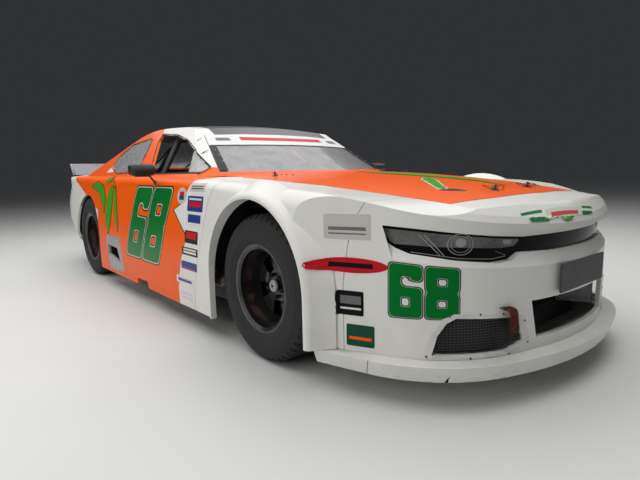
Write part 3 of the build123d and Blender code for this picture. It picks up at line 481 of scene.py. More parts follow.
def insideOf(tree, place, outer, inner):
    # the inner faces of the shell keep their plain grey primer
    axes = addNode(tree, "ShaderNodeSeparateXYZ", {0: place}).outputs
    height = maths(tree, "SUBTRACT", axes[2], livery["shellMiddle"])
    outward = addNode(tree, "ShaderNodeCombineXYZ", {0: axes[0], 2: height}).outputs[0]
    normal = addNode(tree, "ShaderNodeNewGeometry").outputs["Normal"]
    facing = addNode(tree, "ShaderNodeVectorMath", {0: outward, 1: normal}, operation="DOT_PRODUCT")
    return mixColour(tree, maths(tree, "LESS_THAN", facing.outputs["Value"], 0.0), outer, inner)


def sideColour(tree, place):
    # orange with the white strip and arrow at its front and the white quarter at its rear
    axes = addNode(tree, "ShaderNodeSeparateXYZ", {0: place}).outputs
    edge = edgeCurve(tree, axes[2], livery["stripEdge"], *livery["stripLimits"])
    past = maths(tree, "SUBTRACT", axes[1], edge)
    strip = maths(tree, "LESS_THAN", past, 0.0)
    line = maths(tree, "LESS_THAN", maths(tree, "ABSOLUTE", past), livery["arrowLine"])
    inArrow = between(tree, axes[2], livery["arrowFoot"], livery["arrowTop"])
    footY, footZ = livery["quarterFoot"]
    slope = livery["quarterSlope"]
    level = maths(tree, "MULTIPLY_ADD", axes[1], slope, footZ - slope * footY)
    quarter = times(tree, maths(tree, "LESS_THAN", axes[2], level),
                    maths(tree, "GREATER_THAN", axes[1], livery["quarterFront"]))
    body = mixColour(tree, maths(tree, "MAXIMUM", strip, quarter), orange, offWhite)
    outer = mixColour(tree, times(tree, line, inArrow), body, ink)
    return insideOf(tree, place, outer, primer)


def roofColour(tree, place):
    # white windscreen pillars, orange from the rear window pillars back, and dark grey over the middle of the
    # roof top as a painted reflection on its paint
    axes = addNode(tree, "ShaderNodeSeparateXYZ", {0: place}).outputs
    railY, railZ = livery["railFoot"]
    slope = livery["railSlope"]
    edge = maths(tree, "MULTIPLY_ADD", axes[2], slope, railY - slope * railZ)
    ahead = maths(tree, "LESS_THAN", axes[1], edge)
    above = maths(tree, "GREATER_THAN", axes[2], livery["pillarFoot"])
    outer = mixColour(tree, times(tree, ahead, above), orange, offWhite)
    within = maths(tree, "LESS_THAN", maths(tree, "ABSOLUTE", axes[0]), livery["skinHalf"])
    behind = between(tree, axes[1], livery["skinFront"], livery["skinRear"])
    # painted reflection: dark grey over the roof top between these bounds
    paintedReflection = times(tree, times(tree, within, behind),
                 maths(tree, "GREATER_THAN", axes[2], livery["skinFoot"]))
    return insideOf(tree, place, mixColour(tree, paintedReflection, outer, roofReflectionGrey), primer)


def lidColour(tree, place):
    # hood and deck lid: orange above, primer below
    return insideOf(tree, place, orange, primer)


def scuffedSplitter(name):
    material, tree, shader, place = newMaterial(name, Coat_Weight=0.3)
    axes = addNode(tree, "ShaderNodeSeparateXYZ", {0: place}).outputs
    streak = addNode(tree, "ShaderNodeMapping", {"Vector": place, "Scale": (1.0, 1.0, 9.0)}).outputs[0]
    scuff = stretch(tree, noise(tree, streak, 26.0, 6.0, 0.7), 0.55, 0.68)
    low = stretch(tree, axes[2], 0.155, 0.108)
    worn = times(tree, scuff, maths(tree, "ADD", times(tree, low, 0.8), 0.06))
    cloud = stretch(tree, noise(tree, place, 6.0, 5.0, 0.65), 0.4, 0.8)
    dusty = mixColour(tree, times(tree, cloud, 0.35), offWhite, rgba(0.50, 0.48, 0.43))
    tree.links.new(mixColour(tree, worn, dusty, rgba(0.16, 0.15, 0.14)), shader.inputs["Base Color"])
    tree.links.new(stretch(tree, worn, 0.0, 1.0, 0.30, 0.8), shader.inputs["Roughness"])
    bumpFrom(tree, shader, worn, 0.4, 0.001)
    return material


def rubber(name):
    # matt tread and sidewall rubber with clouds of dust
    material, tree, shader, place = newMaterial(name, Specular_IOR_Level=0.35)
    cloud = stretch(tree, noise(tree, place, 11.0, 6.0, 0.7), 0.40, 0.75)
    fine = noise(tree, place, 330.0, 2.0)
    dusty = mixColour(tree, times(tree, cloud, 0.45), rgba(0.013, 0.013, 0.014),
                      rgba(0.055, 0.052, 0.048))
    tree.links.new(dusty, shader.inputs["Base Color"])
    tree.links.new(stretch(tree, cloud, 0.0, 1.0, 0.62, 0.9), shader.inputs["Roughness"])
    bumpFrom(tree, shader, fine, 0.25, 0.0008)
    return material


def wheelBlack(name):
    # gloss black steel, with red-brown brake dust and rust towards the rim's lip
    material, tree, shader, place = newMaterial(name, Coat_Weight=0.25)
    cloud = stretch(tree, noise(tree, place, 16.0, 6.0, 0.7), 0.40, 0.66)
    axes = addNode(tree, "ShaderNodeSeparateXYZ", {0: place}).outputs
    fore, aft = (maths(tree, "ABSOLUTE", maths(tree, "SUBTRACT", axes[1], spot))
                 for spot in wheelSpots.values())
    along = maths(tree, "MINIMUM", fore, aft)
    height = maths(tree, "SUBTRACT", axes[2], axleHeight)
    radius = maths(tree, "SQRT", maths(tree, "ADD", times(tree, along, along),
                                       times(tree, height, height)))
    depth = maths(tree, "ABSOLUTE", axes[0])
    band = times(tree, stretch(tree, depth, 0.842, 0.862), stretch(tree, depth, 0.900, 0.880))
    stain = times(tree, cloud, times(tree, stretch(tree, radius, 0.150, 0.175), band))
    tree.links.new(mixColour(tree, stain, rgba(0.010, 0.010, 0.011), rgba(0.115, 0.040, 0.032)),
                   shader.inputs["Base Color"])
    tree.links.new(stretch(tree, stain, 0.0, 1.0, 0.28, 0.75), shader.inputs["Roughness"])
    bumpFrom(tree, shader, cloud, 0.15, 0.0006)
    return material


def bareMetal(name, base, pale, rough=0.35, brush=(60.0, 2.0, 60.0)):
    material, tree, shader, place = newMaterial(name, Metallic=0.95)
    drawn = addNode(tree, "ShaderNodeMapping", {"Vector": place, "Scale": brush}).outputs[0]
    lines = noise(tree, drawn, 9.0, 4.0, 0.6)
    cloud = stretch(tree, noise(tree, place, 8.0, 5.0), 0.35, 0.8)
    tree.links.new(mixColour(tree, times(tree, lines, cloud), base, pale), shader.inputs["Base Color"])
    tree.links.new(stretch(tree, lines, 0.2, 0.8, rough, rough + 0.2), shader.inputs["Roughness"])
    bumpFrom(tree, shader, lines, 0.12, 0.0005)
    return material


def meshBlack(name):
    # the sheet behind a grille: near black, with the weave of its wires
    return woven(name, rgba(0.03, 0.03, 0.032), grey(0.002), 520.0, sheen=0.0, rough=0.55)


def film(name, tint, cover, coat=0.6):
    # a scuffed plastic pane: pale, half clear; on the windscreen its pale cover is a painted reflection
    material, tree, shader, place = newMaterial(name, Alpha=cover, Coat_Weight=coat, Coat_Roughness=0.04)
    smear = stretch(tree, noise(tree, place, 7.0, 5.0, 0.6), 0.3, 0.8)
    darker = tuple(channel * 0.6 for channel in tint[:3]) + (1.0,)
    tree.links.new(mixColour(tree, smear, tint, darker), shader.inputs["Base Color"])
    tree.links.new(stretch(tree, smear, 0.0, 1.0, 0.15, 0.4), shader.inputs["Roughness"])
    return material


def wornWeb(name):
    # dark red webbing, rubbed to its pale core in patches
    material, tree, shader, place = newMaterial(name, Roughness=0.9, Specular_IOR_Level=0.2)
    cloud = stretch(tree, noise(tree, place, 55.0, 4.0, 0.6), 0.52, 0.66)
    wave = addNode(tree, "ShaderNodeTexWave", {"Vector": place, "Scale": 190.0, "Distortion": 1.5})
    ribs = wave.outputs["Fac"]
    red = mixColour(tree, ribs, rgba(0.055, 0.006, 0.005), rgba(0.120, 0.012, 0.009))
    tree.links.new(mixColour(tree, times(tree, cloud, 0.75), red, rgba(0.115, 0.075, 0.048)),
                   shader.inputs["Base Color"])
    bumpFrom(tree, shader, ribs, 0.5, 0.0012)
    return material


finishes = {
    "nose_paint": paint("nosePaint", offWhite),
    "fender_paint": paint("fenderPaint", offWhite),
    "hood_paint": paint("hoodPaint", lidColour, dirt=0.15, coat=0.2, shine=0.3),
    "cowl_paint": paint("cowlPaint", orange, dirt=0.25),
    "side_paint": paint("sidePaint", sideColour, dirt=0.2, coat=0.06, shine=0.15),
    "roof_paint": paint("roofPaint", roofColour, dirt=0.15),
    "deck_paint": paint("deckPaint", lidColour, dirt=0.25),
    "tail_paint": paint("tailPaint", offWhite),
    "spoiler_plate": grained("spoilerPlate", rgba(0.24, 0.24, 0.25), rgba(0.36, 0.36, 0.37), 120.0, 0.42, 0.2,
                             metallic=0.3),
    # the windscreen's pale grey half cover stands in as a painted reflection of the ceiling
    "screen": film("screen", grey(0.66), 0.40, 1.0),
    "rear_glass": clear("rearGlass", rgba(0.90, 0.92, 0.92), 0.05, 1.45),
    "quarter_glass": film("quarterGlass", rgba(0.52, 0.53, 0.53), 0.60, 0.8),
    "vent_glass": film("ventGlass", rgba(0.66, 0.67, 0.67), 0.50),
    "mirror_shell": grained("mirrorShell", rgba(0.010, 0.010, 0.011), grey(0.03), 350.0, 0.32),
    "splitter_white": scuffedSplitter("splitterWhite"),
    "lamp_black": paint("lampBlack", rgba(0.005, 0.005, 0.006), gloss=0.12, dirt=0.03, coat=0.1, shine=0.2),
    "grille_black": meshBlack("grilleBlack"),
    "plate_grey": grained("plateGrey", rgba(0.028, 0.030, 0.034), rgba(0.05, 0.052, 0.056), 300.0, 0.45),
    "strap_red": wornWeb("strapRed"),
    "exhaust_plate": grained("exhaustPlate", grey(0.36), rgba(0.55, 0.54, 0.53), 90.0, 0.38, 0.2,
                             metallic=0.35),
    "exhaust_steel": bareMetal("exhaustSteel", rgba(0.22, 0.17, 0.13), rgba(0.40, 0.36, 0.32), 0.4),
    "frame_paint": grained("framePaint", rgba(0.020, 0.021, 0.023), rgba(0.07, 0.065, 0.06), 260.0, 0.5),
    "sheet_metal": grained("sheetMetal", rgba(0.022, 0.022, 0.024), rgba(0.08, 0.075, 0.07), 180.0, 0.6),
    "floor_metal": bareMetal("floorMetal", rgba(0.30, 0.30, 0.31), grey(0.46), 0.45),
    "cage_paint": grained("cagePaint", rgba(0.035, 0.035, 0.037), grey(0.07), 320.0, 0.38, 0.15),
    "seat_shell": grained("seatShell", rgba(0.30, 0.30, 0.31), grey(0.40), 240.0, 0.4, metallic=0.8),
    "dash_black": grained("dashBlack", rgba(0.012, 0.012, 0.013), grey(0.035), 420.0, 0.75),
    "column_steel": bareMetal("columnSteel", grey(0.30), grey(0.50), 0.35),
    "steering_grip": grained("steeringGrip", grey(0.010), grey(0.045), 600.0, 0.9, 0.5),
    "engine_block": grained("engineBlock", rgba(0.14, 0.14, 0.15), rgba(0.26, 0.25, 0.25), 150.0, 0.6, 0.5,
                            0.5),
    "drive_steel": grained("driveSteel", grey(0.16), rgba(0.30, 0.29, 0.28), 150.0, 0.55, 0.4, 0.7),
    "radiator_core": bareMetal("radiatorCore", grey(0.20), grey(0.40), 0.45, (2.0, 2.0, 260.0)),
    "fuel_black": grained("fuelBlack", rgba(0.014, 0.014, 0.015), grey(0.05), 200.0, 0.65),
    "arm_black": grained("armBlack", rgba(0.014, 0.014, 0.015), rgba(0.06, 0.05, 0.045), 260.0, 0.5),
    "spring_steel": grained("springSteel", rgba(0.03, 0.03, 0.032), rgba(0.09, 0.085, 0.08), 260.0, 0.5),
    "axle_black": grained("axleBlack", rgba(0.018, 0.018, 0.019), rgba(0.07, 0.06, 0.05), 160.0, 0.6, 0.5),
    "knuckle_steel": grained("knuckleSteel", grey(0.10), rgba(0.20, 0.18, 0.16), 160.0, 0.55, 0.4, 0.6),
    "wheel_black": wheelBlack("wheelBlack"),
    "tyre": rubber("tyreRubber"),
}

for part in frame["record"]["subparts"]:
    mesh = nodes[part["node"]].data
    mesh.materials.clear()
    mesh.materials.append(finishes[part["material_slot"]])


# vinyl and paint laid on the panels
def vinyl(name, colour, gloss=0.28):
    return paint(name, colour, gloss, dirt=0.08, top=0.35, coat=0.06, shine=0.2)


vinyls = {"green": vinyl("vinylGreen", green), "leaf": vinyl("vinylLeaf", leafGreen),
          "ink": vinyl("vinylInk", ink), "white": vinyl("vinylWhite", rgba(0.72, 0.72, 0.70)),
          "red": vinyl("vinylRed", signalRed), "blue": vinyl("vinylBlue", deepBlue),
          "plate": vinyl("vinylPlate", plateGrey), "orange": vinyl("vinylOrange", orange),
          "dark": vinyl("vinylDark", rgba(0.035, 0.037, 0.04)),
          "pale": vinyl("vinylPale", rgba(0.62, 0.66, 0.55)),
          "smoke": vinyl("vinylSmoke", rgba(0.16, 0.16, 0.165)),
          "bottle": vinyl("vinylBottle", rgba(0.012, 0.07, 0.045))}


def flatShape(loops, corner=0.0, segments=3):
    # closed outlines in a plane, their corners rounded; inner loops stay open
    shape = bmesh.new()
    corners = corner if isinstance(corner, list) else [corner] * len(loops)
    for loop, reach in zip(loops, corners):
        verts = [shape.verts.new((x, y, 0)) for x, y in loop]
        for pair in zip(verts, verts[1:] + verts[:1]):
            shape.edges.new(pair)
        if reach:
            bmesh.ops.bevel(shape, geom=verts, offset=reach, segments=segments, affect="VERTICES",
                            profile=0.5, material=-1)
    bmesh.ops.triangle_fill(shape, edges=shape.edges[:], use_beauty=True, normal=(0, 0, 1))
    return shape


def flatOval(width, height, segments=40):
    shape = bmesh.new()
    bmesh.ops.create_circle(shape, cap_ends=True, segments=segments, radius=0.5)
    bmesh.ops.scale(shape, vec=(width, height, 1), verts=shape.verts)
    bmesh.ops.translate(shape, vec=(width / 2, height / 2, 0), verts=shape.verts)
    return shape


def grown(loop, distance):
    # an outline moved outwards, its corners kept
    moved = []
    for index, spot in enumerate(loop):
        three = (spot, loop[index - 1], loop[(index + 1) % len(loop)])
        here, last, following = (Vector(point) for point in three)
        before, after = (here - last).normalized(), (following - here).normalized()
        first, second = Vector((before.y, -before.x)), Vector((after.y, -after.x))
        middle = (first + second).normalized()
        moved.append(tuple(here + middle * (distance / max(middle.dot(first), 0.3))))
    return moved


def joinInto(shape, other, index=0):
    # adds one mesh to another under a material index
    for face in other.faces:
        face.material_index = index
    mesh = bpy.data.meshes.new("joined")
    other.to_mesh(mesh)
    other.free()
    shape.from_mesh(mesh)
    bpy.data.meshes.remove(mesh)


def cutLine(shape, spot, along):
    bmesh.ops.bisect_plane(shape, geom=shape.verts[:] + shape.edges[:] + shape.faces[:], dist=1e-6,
                           plane_co=spot, plane_no=along)


def cutGrid(shape, width, height, step):
    for index in range(1, int(width / step) + 1):
        cutLine(shape, (index * step, 0, 0), (1, 0, 0))
    for index in range(1, int(height / step) + 1):
        cutLine(shape, (0, index * step, 0), (0, 1, 0))


rays = {"start": 0.8, "seamDepth": 0.008, "besideCar": 1.15, "ahead": -2.0, "astern": 2.40, "above": 1.3,
        "glass": -1.4}


def landing(surface, spot, toward, reach=0.006):
    # where a panel is met from outside; a seam narrower than the reach is bridged
    start = rays["start"]
    hit, normal, _, travel = surface.ray_cast(spot - toward * start, toward)
    aside = toward.orthogonal().normalized()
    for shift in (aside, -aside, toward.cross(aside), -toward.cross(aside)):
        near, slope, _, other = surface.ray_cast(spot - toward * start + shift * reach, toward)
        if near is not None and (hit is None or other < travel - rays["seamDepth"]):
            hit, normal, travel = spot + toward * (other - start), slope, other
    if hit is None:
        hit, normal = surface.find_nearest(spot)[:2]
    return hit, -normal if normal.dot(toward) > 0 else normal


def drape(shape, size, corners, toward, surface, lift=0.0009, thick=0.0005):
    # bends flat artwork of this size onto a panel: corners are where its own four corners go
    a, b, c, d = (Vector(corner) for corner in corners)
    toward = Vector(toward).normalized()
    for vert in shape.verts:
        across, up = vert.co.x / size[0], vert.co.y / size[1]
        hit, normal = landing(surface, a.lerp(b, across).lerp(d.lerp(c, across), up), toward)
        vert.co = hit + normal * lift
    bmesh.ops.recalc_face_normals(shape, faces=shape.faces)
    facing = sum((face.normal * face.calc_area() for face in shape.faces), Vector())
    if facing.dot(toward) > 0:
        bmesh.ops.reverse_faces(shape, faces=shape.faces)
    back = bmesh.ops.extrude_face_region(shape, geom=shape.faces[:], use_keep_orig=True)
    moved = [vert for vert in back["geom"] if isinstance(vert, bmesh.types.BMVert)]
    bmesh.ops.translate(shape, vec=toward * thick, verts=moved)
    bmesh.ops.recalc_face_normals(shape, faces=shape.faces)
    return shape


panelSets = {"right": ("side_right", "fender_right", "nose_fascia", "rear_fascia", "roof"),
             "left": ("side_left", "fender_left", "nose_fascia", "rear_fascia", "roof"),
             "nose": ("nose_fascia",), "hood": ("hood",), "glass": ("windscreen",), "lamps": ("lamp_band",),
             "roof": ("roof",), "top": ("hood", "nose_fascia", "cowl"), "deck": ("deck_lid", "rear_fascia")}
panels = {key: surfaceOf(*names) for key, names in panelSets.items()}


def sideQuad(side, rear, front, low, high, slant=0.0):
    # the reader's lower left, lower right, upper right and upper left on a side
    x = side * rays["besideCar"]
    quad = [(x, rear, low), (x, front, low), (x, front + slant, high), (x, rear + slant, high)]
    return quad if side < 0 else [quad[1], quad[0], quad[3], quad[2]]


digitLoops = {
    "8": [[(0, 0), (1, 0), (1, 0.82), (0.93, 0.90), (1, 0.98), (1, 1.8), (0, 1.8), (0, 0.98), (0.07, 0.90),
           (0, 0.82)],
          [(0.35, 0.37), (0.65, 0.37), (0.65, 0.66), (0.35, 0.66)],
          [(0.35, 1.14), (0.65, 1.14), (0.65, 1.43), (0.35, 1.43)]],
    "6": [[(0, 0), (1, 0), (1, 1.04), (0.36, 1.04), (0.36, 1.42), (0.64, 1.42), (0.64, 1.27), (1, 1.27),
           (1, 1.8), (0, 1.8)],
          [(0.36, 0.37), (0.64, 0.37), (0.64, 0.70), (0.36, 0.70)]]}
raceNumber = {"digits": "68", "gap": 0.10, "digitHeight": 1.8, "doorCorner": 0.034,
              "doorGrowth": [0.014, 0.006, 0.0], "noseGrowth": [0.0050, 0.0012, 0.0],
              "doorPlace": (0.293, -0.304, 0.32, 0.795, -0.190), "noseOuter": (0.785, -2.064),
              "noseInner": (0.629, -2.262), "noseFoot": 0.335, "noseTops": (0.540, 0.519),
              "noseAim": (0.786, 0.619), "noseCorner": 0.017}


def addNumber(name, corners, toward, surface, growths, corner):
    # ink outline, pale line and green side by side in one thin sheet
    a, b, c, d = (Vector(spot) for spot in corners)
    size = ((b - a).length, (d - a).project(Vector((0, 0, 1))).length)
    count = len(raceNumber["digits"])
    unit = size[0] / (count + raceNumber["gap"] * (count - 1))
    shape = bmesh.new()
    for place, digit in enumerate(raceNumber["digits"]):
        start = place * unit * (1 + raceNumber["gap"])
        outer, *holes = [[(start + x * unit, y * size[1] / raceNumber["digitHeight"]) for x, y in loop]
                         for loop in digitLoops[digit]]
        for index, (wide, narrow) in enumerate(zip(growths, growths[1:])):
            joinInto(shape, flatShape([grown(outer, wide), grown(outer, narrow)], corner), index)
            for hole in holes:
                joinInto(shape, flatShape([grown(hole, -narrow), grown(hole, -wide)], corner * 0.4), index)
        joinInto(shape, flatShape([outer] + holes, [corner] + [corner * 0.4] * len(holes)), len(growths) - 1)
    bmesh.ops.remove_doubles(shape, verts=shape.verts, dist=1e-5)
    cutGrid(shape, size[0], size[1], 0.014)
    drape(shape, size, corners, toward, surface)
    makePiece(name, shape, [vinyls["ink"], vinyls["pale"], vinyls["green"]])


# a plate: name, rear, front, foot and top, fill, and bands as lower share, upper share and colour
sideDecals = [
    ("plateUpper", (-0.725, -0.900, 0.781, 0.827), "plate", [(0.30, 0.42, "ink"), (0.58, 0.70, "ink")]),
    ("plateNavy", (-0.705, -0.893, 0.673, 0.757), "blue", [(0.30, 0.62, "red"), (0.74, 0.86, "white")]),
    ("plateBlue", (-0.702, -0.895, 0.592, 0.662), "white", [(0.28, 0.92, "blue")]),
    ("plateRed", (-0.690, -0.850, 0.496, 0.566), "ink", [(0.35, 0.90, "red")]),
    ("plateBanner", (-0.655, -0.852, 0.427, 0.471), "ink", [(0.22, 0.50, "white"), (0.62, 0.84, "white")]),
    ("plateDeep", (-0.645, -0.842, 0.345, 0.390), "blue", [(0.12, 0.24, "red")]),
    ("plateWide", (-0.572, -0.795, 0.255, 0.297), "white", [(0.30, 0.62, "blue"), (0.66, 0.74, "red")]),
    ("plateSmall", (-0.618, -0.770, 0.165, 0.214), "white", [(0.66, 0.78, "plate"), (0.2, 0.3, "plate")])]
cornerDecals = [
    ("plateGrey", (-1.822, -2.000, 0.617, 0.714), "plate", [(0.20, 0.26, "smoke"), (0.36, 0.50, "smoke")]),
    ("plateDark", (-1.873, -1.972, 0.320, 0.417), "ink", [(0.24, 0.32, "white"), (0.46, 0.80, "smoke")]),
    ("plateForest", (-1.906, -2.012, 0.198, 0.285), "bottle", [(0.30, 0.44, "orange")])]
ovalDecals = [
    ("ovalRed", (-1.787, -2.062, 0.488, 0.548), "red", [(0.34, 0.66, "ink")], 0.2),
    ("emblem", (-0.560, -0.682, 0.708, 0.802), "plate", [(0.25, 0.5, "blue"), (0.5, 0.75, "red")], 0.25)]


def addPlate(name, quad, toward, surface, fill, bands, oval=False, margin=0.10):
    a, b, c, d = (Vector(spot) for spot in quad)
    size = ((b - a).length, (d - a).length)
    shape = flatOval(*size) if oval else flatShape([[(0, 0), (size[0], 0), size, (0, size[1])]], 0.006)
    for low, high, _ in bands:
        for level in (low, high):
            cutLine(shape, (0, level * size[1], 0), (0, 1, 0))
    for share in (margin, 1 - margin):
        cutLine(shape, (share * size[0], 0, 0), (1, 0, 0))
    colours = [fill] + sorted({band[2] for band in bands} - {fill})
    for face in shape.faces:
        spot = face.calc_center_median()
        for low, high, colour in bands:
            if low < spot.y / size[1] < high and margin < spot.x / size[0] < 1 - margin:
                face.material_index = colours.index(colour)
    cutGrid(shape, size[0], size[1], 0.03)
    drape(shape, size, quad, toward, surface)
    makePiece(name, shape, [vinyls[colour] for colour in colours])


for name, side in sides.items():
    toward = (-side, 0, 0)
    addNumber("doorNumber." + name, sideQuad(side, *raceNumber["doorPlace"]), toward, panels[name],
              raceNumber["doorGrowth"], raceNumber["doorCorner"])
    for label, place, fill, bands in sideDecals + cornerDecals:
        addPlate(label + "." + name, sideQuad(side, *place), toward, panels[name], fill, bands)
    for label, place, fill, bands, margin in ovalDecals:
        addPlate(label + "." + name, sideQuad(side, *place), toward, panels[name], fill, bands, True, margin)
    spots = zip((raceNumber["noseOuter"], raceNumber["noseInner"]), raceNumber["noseTops"])
    ends = [(side * x, y, top) for (x, y), top in spots]
    if side > 0:
        ends.reverse()
    foot, aim = raceNumber["noseFoot"], raceNumber["noseAim"]
    nose = [(ends[0][0], ends[0][1], foot), (ends[1][0], ends[1][1], foot), ends[1], ends[0]]
    addNumber("noseNumber." + name, nose, (-side * aim[0], aim[1], 0), panels["nose"],
              raceNumber["noseGrowth"], raceNumber["noseCorner"])
print("stage: numbers and plates")


def addSheet(name, loops, place, toward, surface, colour, body="chassis", corner=0.0, step=0.03, lift=0.0009,
             thick=0.0005):
    # a thin sheet cut to an outline given in the row frame's two axes, pressed onto a panel
    spots = [spot for loop in loops for spot in loop]
    low = [min(spot[axis] for spot in spots) for axis in (0, 1)]
    size = [max(spot[axis] for spot in spots) - low[axis] for axis in (0, 1)]
    shape = flatShape([[(x - low[0], y - low[1]) for x, y in loop] for loop in loops], corner)
    cutGrid(shape, size[0], size[1], step)
    ends = [(low[0], low[1]), (low[0] + size[0], low[1]), (low[0] + size[0], low[1] + size[1]),
            (low[0], low[1] + size[1])]
    drape(shape, size, [place(*spot) for spot in ends], toward, surface, lift, thick)
    return makePiece(name, shape, colour, body=body)


def turnedRight(loop):
    # the outline with its points counted anticlockwise
    area = sum(a[0] * b[1] - b[0] * a[1] for a, b in zip(loop, loop[1:] + loop[:1]))
    return loop if area > 0 else loop[::-1]


def mirrored(loop, side):
    # outlines are given for the right-hand side
    return turnedRight([(-side * x, z) for x, z in loop])


def seenAstern(loop, side=1):
    # outlines are given for the left-hand side
    return turnedRight([(side * x, z) for x, z in loop])[::-1]


# where an outline's two axes lie in the row frame before it is pressed onto a panel
def onRight(y, z):
    return (-rays["besideCar"], y, z)


def onLeft(y, z):
    return (rays["besideCar"], y, z)


def onGlassPlane(x, z):
    return (x, rays["glass"], z)


def onTop(x, y):
    return (x, y, rays["above"])


def onNosePlane(x, z):
    return (x, rays["ahead"], z)


def onTail(x, z):
    return (x, rays["astern"], z)


onSide = {"right": onRight, "left": onLeft}
aft, fore, down = (0, 1, 0), (0, -1, 0), (0, 0, -1)
glassFace = (onGlassPlane, aft, panels["glass"])
lampFace = (onNosePlane, aft, panels["lamps"])
noseFace = (onNosePlane, aft, panels["nose"])
noseTop = (onTop, down, panels["nose"])
hoodFace = (onTop, down, panels["hood"])


# glass trims, sunstrip and tape
glassTrim = {"stripTop": [(-0.572, 1.134), (-0.30, 1.146), (0, 1.149), (0.30, 1.146), (0.572, 1.134)],
             "stripFoot": [(0.606, 1.061), (0.30, 1.066), (0, 1.068), (-0.30, 1.066), (-0.606, 1.061)],
             "retainer": [(-0.684, 0.892), (-0.640, 0.892), (-0.566, 1.058), (-0.606, 1.058)],
             "doorWindow": [(-0.546, 0.913), (-0.300, 1.030), (-0.086, 1.104), (0.153, 1.156), (0.472, 1.184),
                            (0.472, 1.133), (0.250, 0.888), (-0.546, 0.888)],
             "quarterWindow": [(0.524, 0.906), (0.640, 1.150), (0.700, 1.163), (1.058, 1.136), (1.231, 1.049),
                               (1.240, 0.950), (1.003, 0.896)],
             "stripLine": [(-0.36, 1.098), (0.36, 1.098), (0.352, 1.122), (-0.352, 1.122)],
             "stripEnd": [(-0.535, 1.092), (-0.432, 1.094), (-0.430, 1.116), (-0.522, 1.114)],
             "tapes": [(-0.236, 1.093), (-0.386, 1.008)],
             "tape": [(0.011, -0.020), (0.015, -0.018), (-0.011, 0.020), (-0.015, 0.018)],
             "triangle": [(1.335, 0.905), (1.250, 0.962), (1.130, 0.905)], "edgeWidth": 0.009}
rubberTrim = grained("rubberTrim", grey(0.006), grey(0.02), 300.0, 0.55, 0.2)
stripBand = vinyl("sunstrip", rgba(0.70, 0.70, 0.69), 0.35)


addSheet("sunstrip", [glassTrim["stripTop"] + glassTrim["stripFoot"]], *glassFace, stripBand)
addSheet("sunstripLine", [glassTrim["stripLine"]], *glassFace, vinyls["red"], lift=0.0018)
for name, side in sides.items():
    addSheet("sunstripEnd." + name, [mirrored(glassTrim["stripEnd"], side)], *glassFace, vinyls["smoke"],
             corner=0.006, lift=0.0018)
    addSheet("retainer." + name, [mirrored(glassTrim["retainer"], side)], *glassFace, vinyls["dark"],
             thick=0.0015, lift=0.002)
    toward = (-side, 0, 0)
    for label in ("doorWindow", "quarterWindow"):
        loop = turnedRight(glassTrim[label])
        addSheet(label + "Edge." + name, [grown(loop, glassTrim["edgeWidth"]), loop], onSide[name], toward,
                 panels[name], rubberTrim, step=0.015, lift=0.0014)
    for index, (y, z) in enumerate(glassTrim["tapes"]):
        tape = turnedRight([(y + across, z + up) for across, up in glassTrim["tape"]])
        addSheet("pillarTape" + str(index) + "." + name, [tape], onSide[name], toward, panels["roof"],
                 vinyls["ink"])
    addSheet("quarterTriangle." + name, [turnedRight(glassTrim["triangle"])], onSide[name], toward,
             panels["roof"], vinyls["white"], lift=0.0012)
print("stage: glass trims")


# painted blades of leaf green, edged in black or white
bladeShapes = {"quarterTall": [(0.725, 0.42), (0.790, 0.52), (0.780, 0.64), (0.725, 0.75), (0.615, 0.835),
                               (0.630, 0.72), (0.640, 0.60), (0.675, 0.50)],
               "quarterSmall": [(0.480, 0.46), (0.525, 0.52), (0.575, 0.62), (0.605, 0.71), (0.580, 0.80),
                                (0.545, 0.72), (0.515, 0.62), (0.485, 0.54)],
               "quarterRear": [(0.825, 0.58), (0.895, 0.66), (1.005, 0.745), (1.225, 0.79), (1.045, 0.83),
                               (0.885, 0.80), (0.805, 0.70)],
               "quarterTip": [(0.665, 0.845), (0.755, 0.82), (0.825, 0.845), (0.755, 0.865)]}
hoodBlades = {"hoodLong": [(-0.010, -2.085), (0.035, -1.980), (0.088, -1.850), (0.095, -1.600),
                           (0.055, -1.350), (-0.020, -1.120), (-0.080, -1.350), (-0.070, -1.600),
                           (-0.025, -1.800), (0.000, -1.950)],
              "hoodStem": [(-0.100, -1.690), (-0.150, -1.790), (-0.320, -1.960), (-0.335, -2.000),
                           (-0.384, -1.985), (-0.350, -1.940), (-0.200, -1.750)]}


def addBlade(name, loop, face, body, edge="ink"):
    loop = turnedRight(loop)
    addSheet(name + ".edge", [grown(loop, 0.007)], *face, vinyls[edge], body, corner=0.03)
    addSheet(name, [loop], *face, vinyls["leaf"], body, corner=0.03, lift=0.0022)


for name, side in sides.items():
    for label, loop in bladeShapes.items():
        addBlade(label + "." + name, loop, (onSide[name], (-side, 0, 0), panels[name]), "chassis")
for label, loop in hoodBlades.items():
    addBlade(label, loop, hoodFace, "hood_lid", "white" if label == "hoodStem" else "ink")


# slanted bars on the brow of the nose, as (x, y)
noseBars = [("green", [(-0.358, -2.382), (-0.257, -2.405), (-0.267, -2.389), (-0.354, -2.371)]),
            ("green", [(-0.382, -2.358), (-0.261, -2.376), (-0.258, -2.368), (-0.384, -2.350)]),
            ("pale", [(-0.258, -2.401), (-0.006, -2.420), (0.037, -2.393), (-0.234, -2.372)]),
            ("red", [(-0.225, -2.398), (-0.030, -2.413), (-0.012, -2.403), (-0.215, -2.386)]),
            ("green", [(0.005, -2.418), (0.104, -2.418), (0.120, -2.408), (0.022, -2.406)]),
            ("green", [(0.050, -2.397), (0.150, -2.398), (0.152, -2.391), (0.055, -2.390)]),
            ("leaf", [(-0.179, -2.409), (-0.120, -2.413), (-0.077, -2.418), (-0.110, -2.424),
                      (-0.150, -2.421)])]
for index, (colour, bar) in enumerate(noseBars):
    addSheet("noseBar" + str(index), [turnedRight(bar)], *noseTop, vinyls[colour], step=0.007,
             lift=0.0018 if colour == "red" else 0.0010)
print("stage: painted shapes")


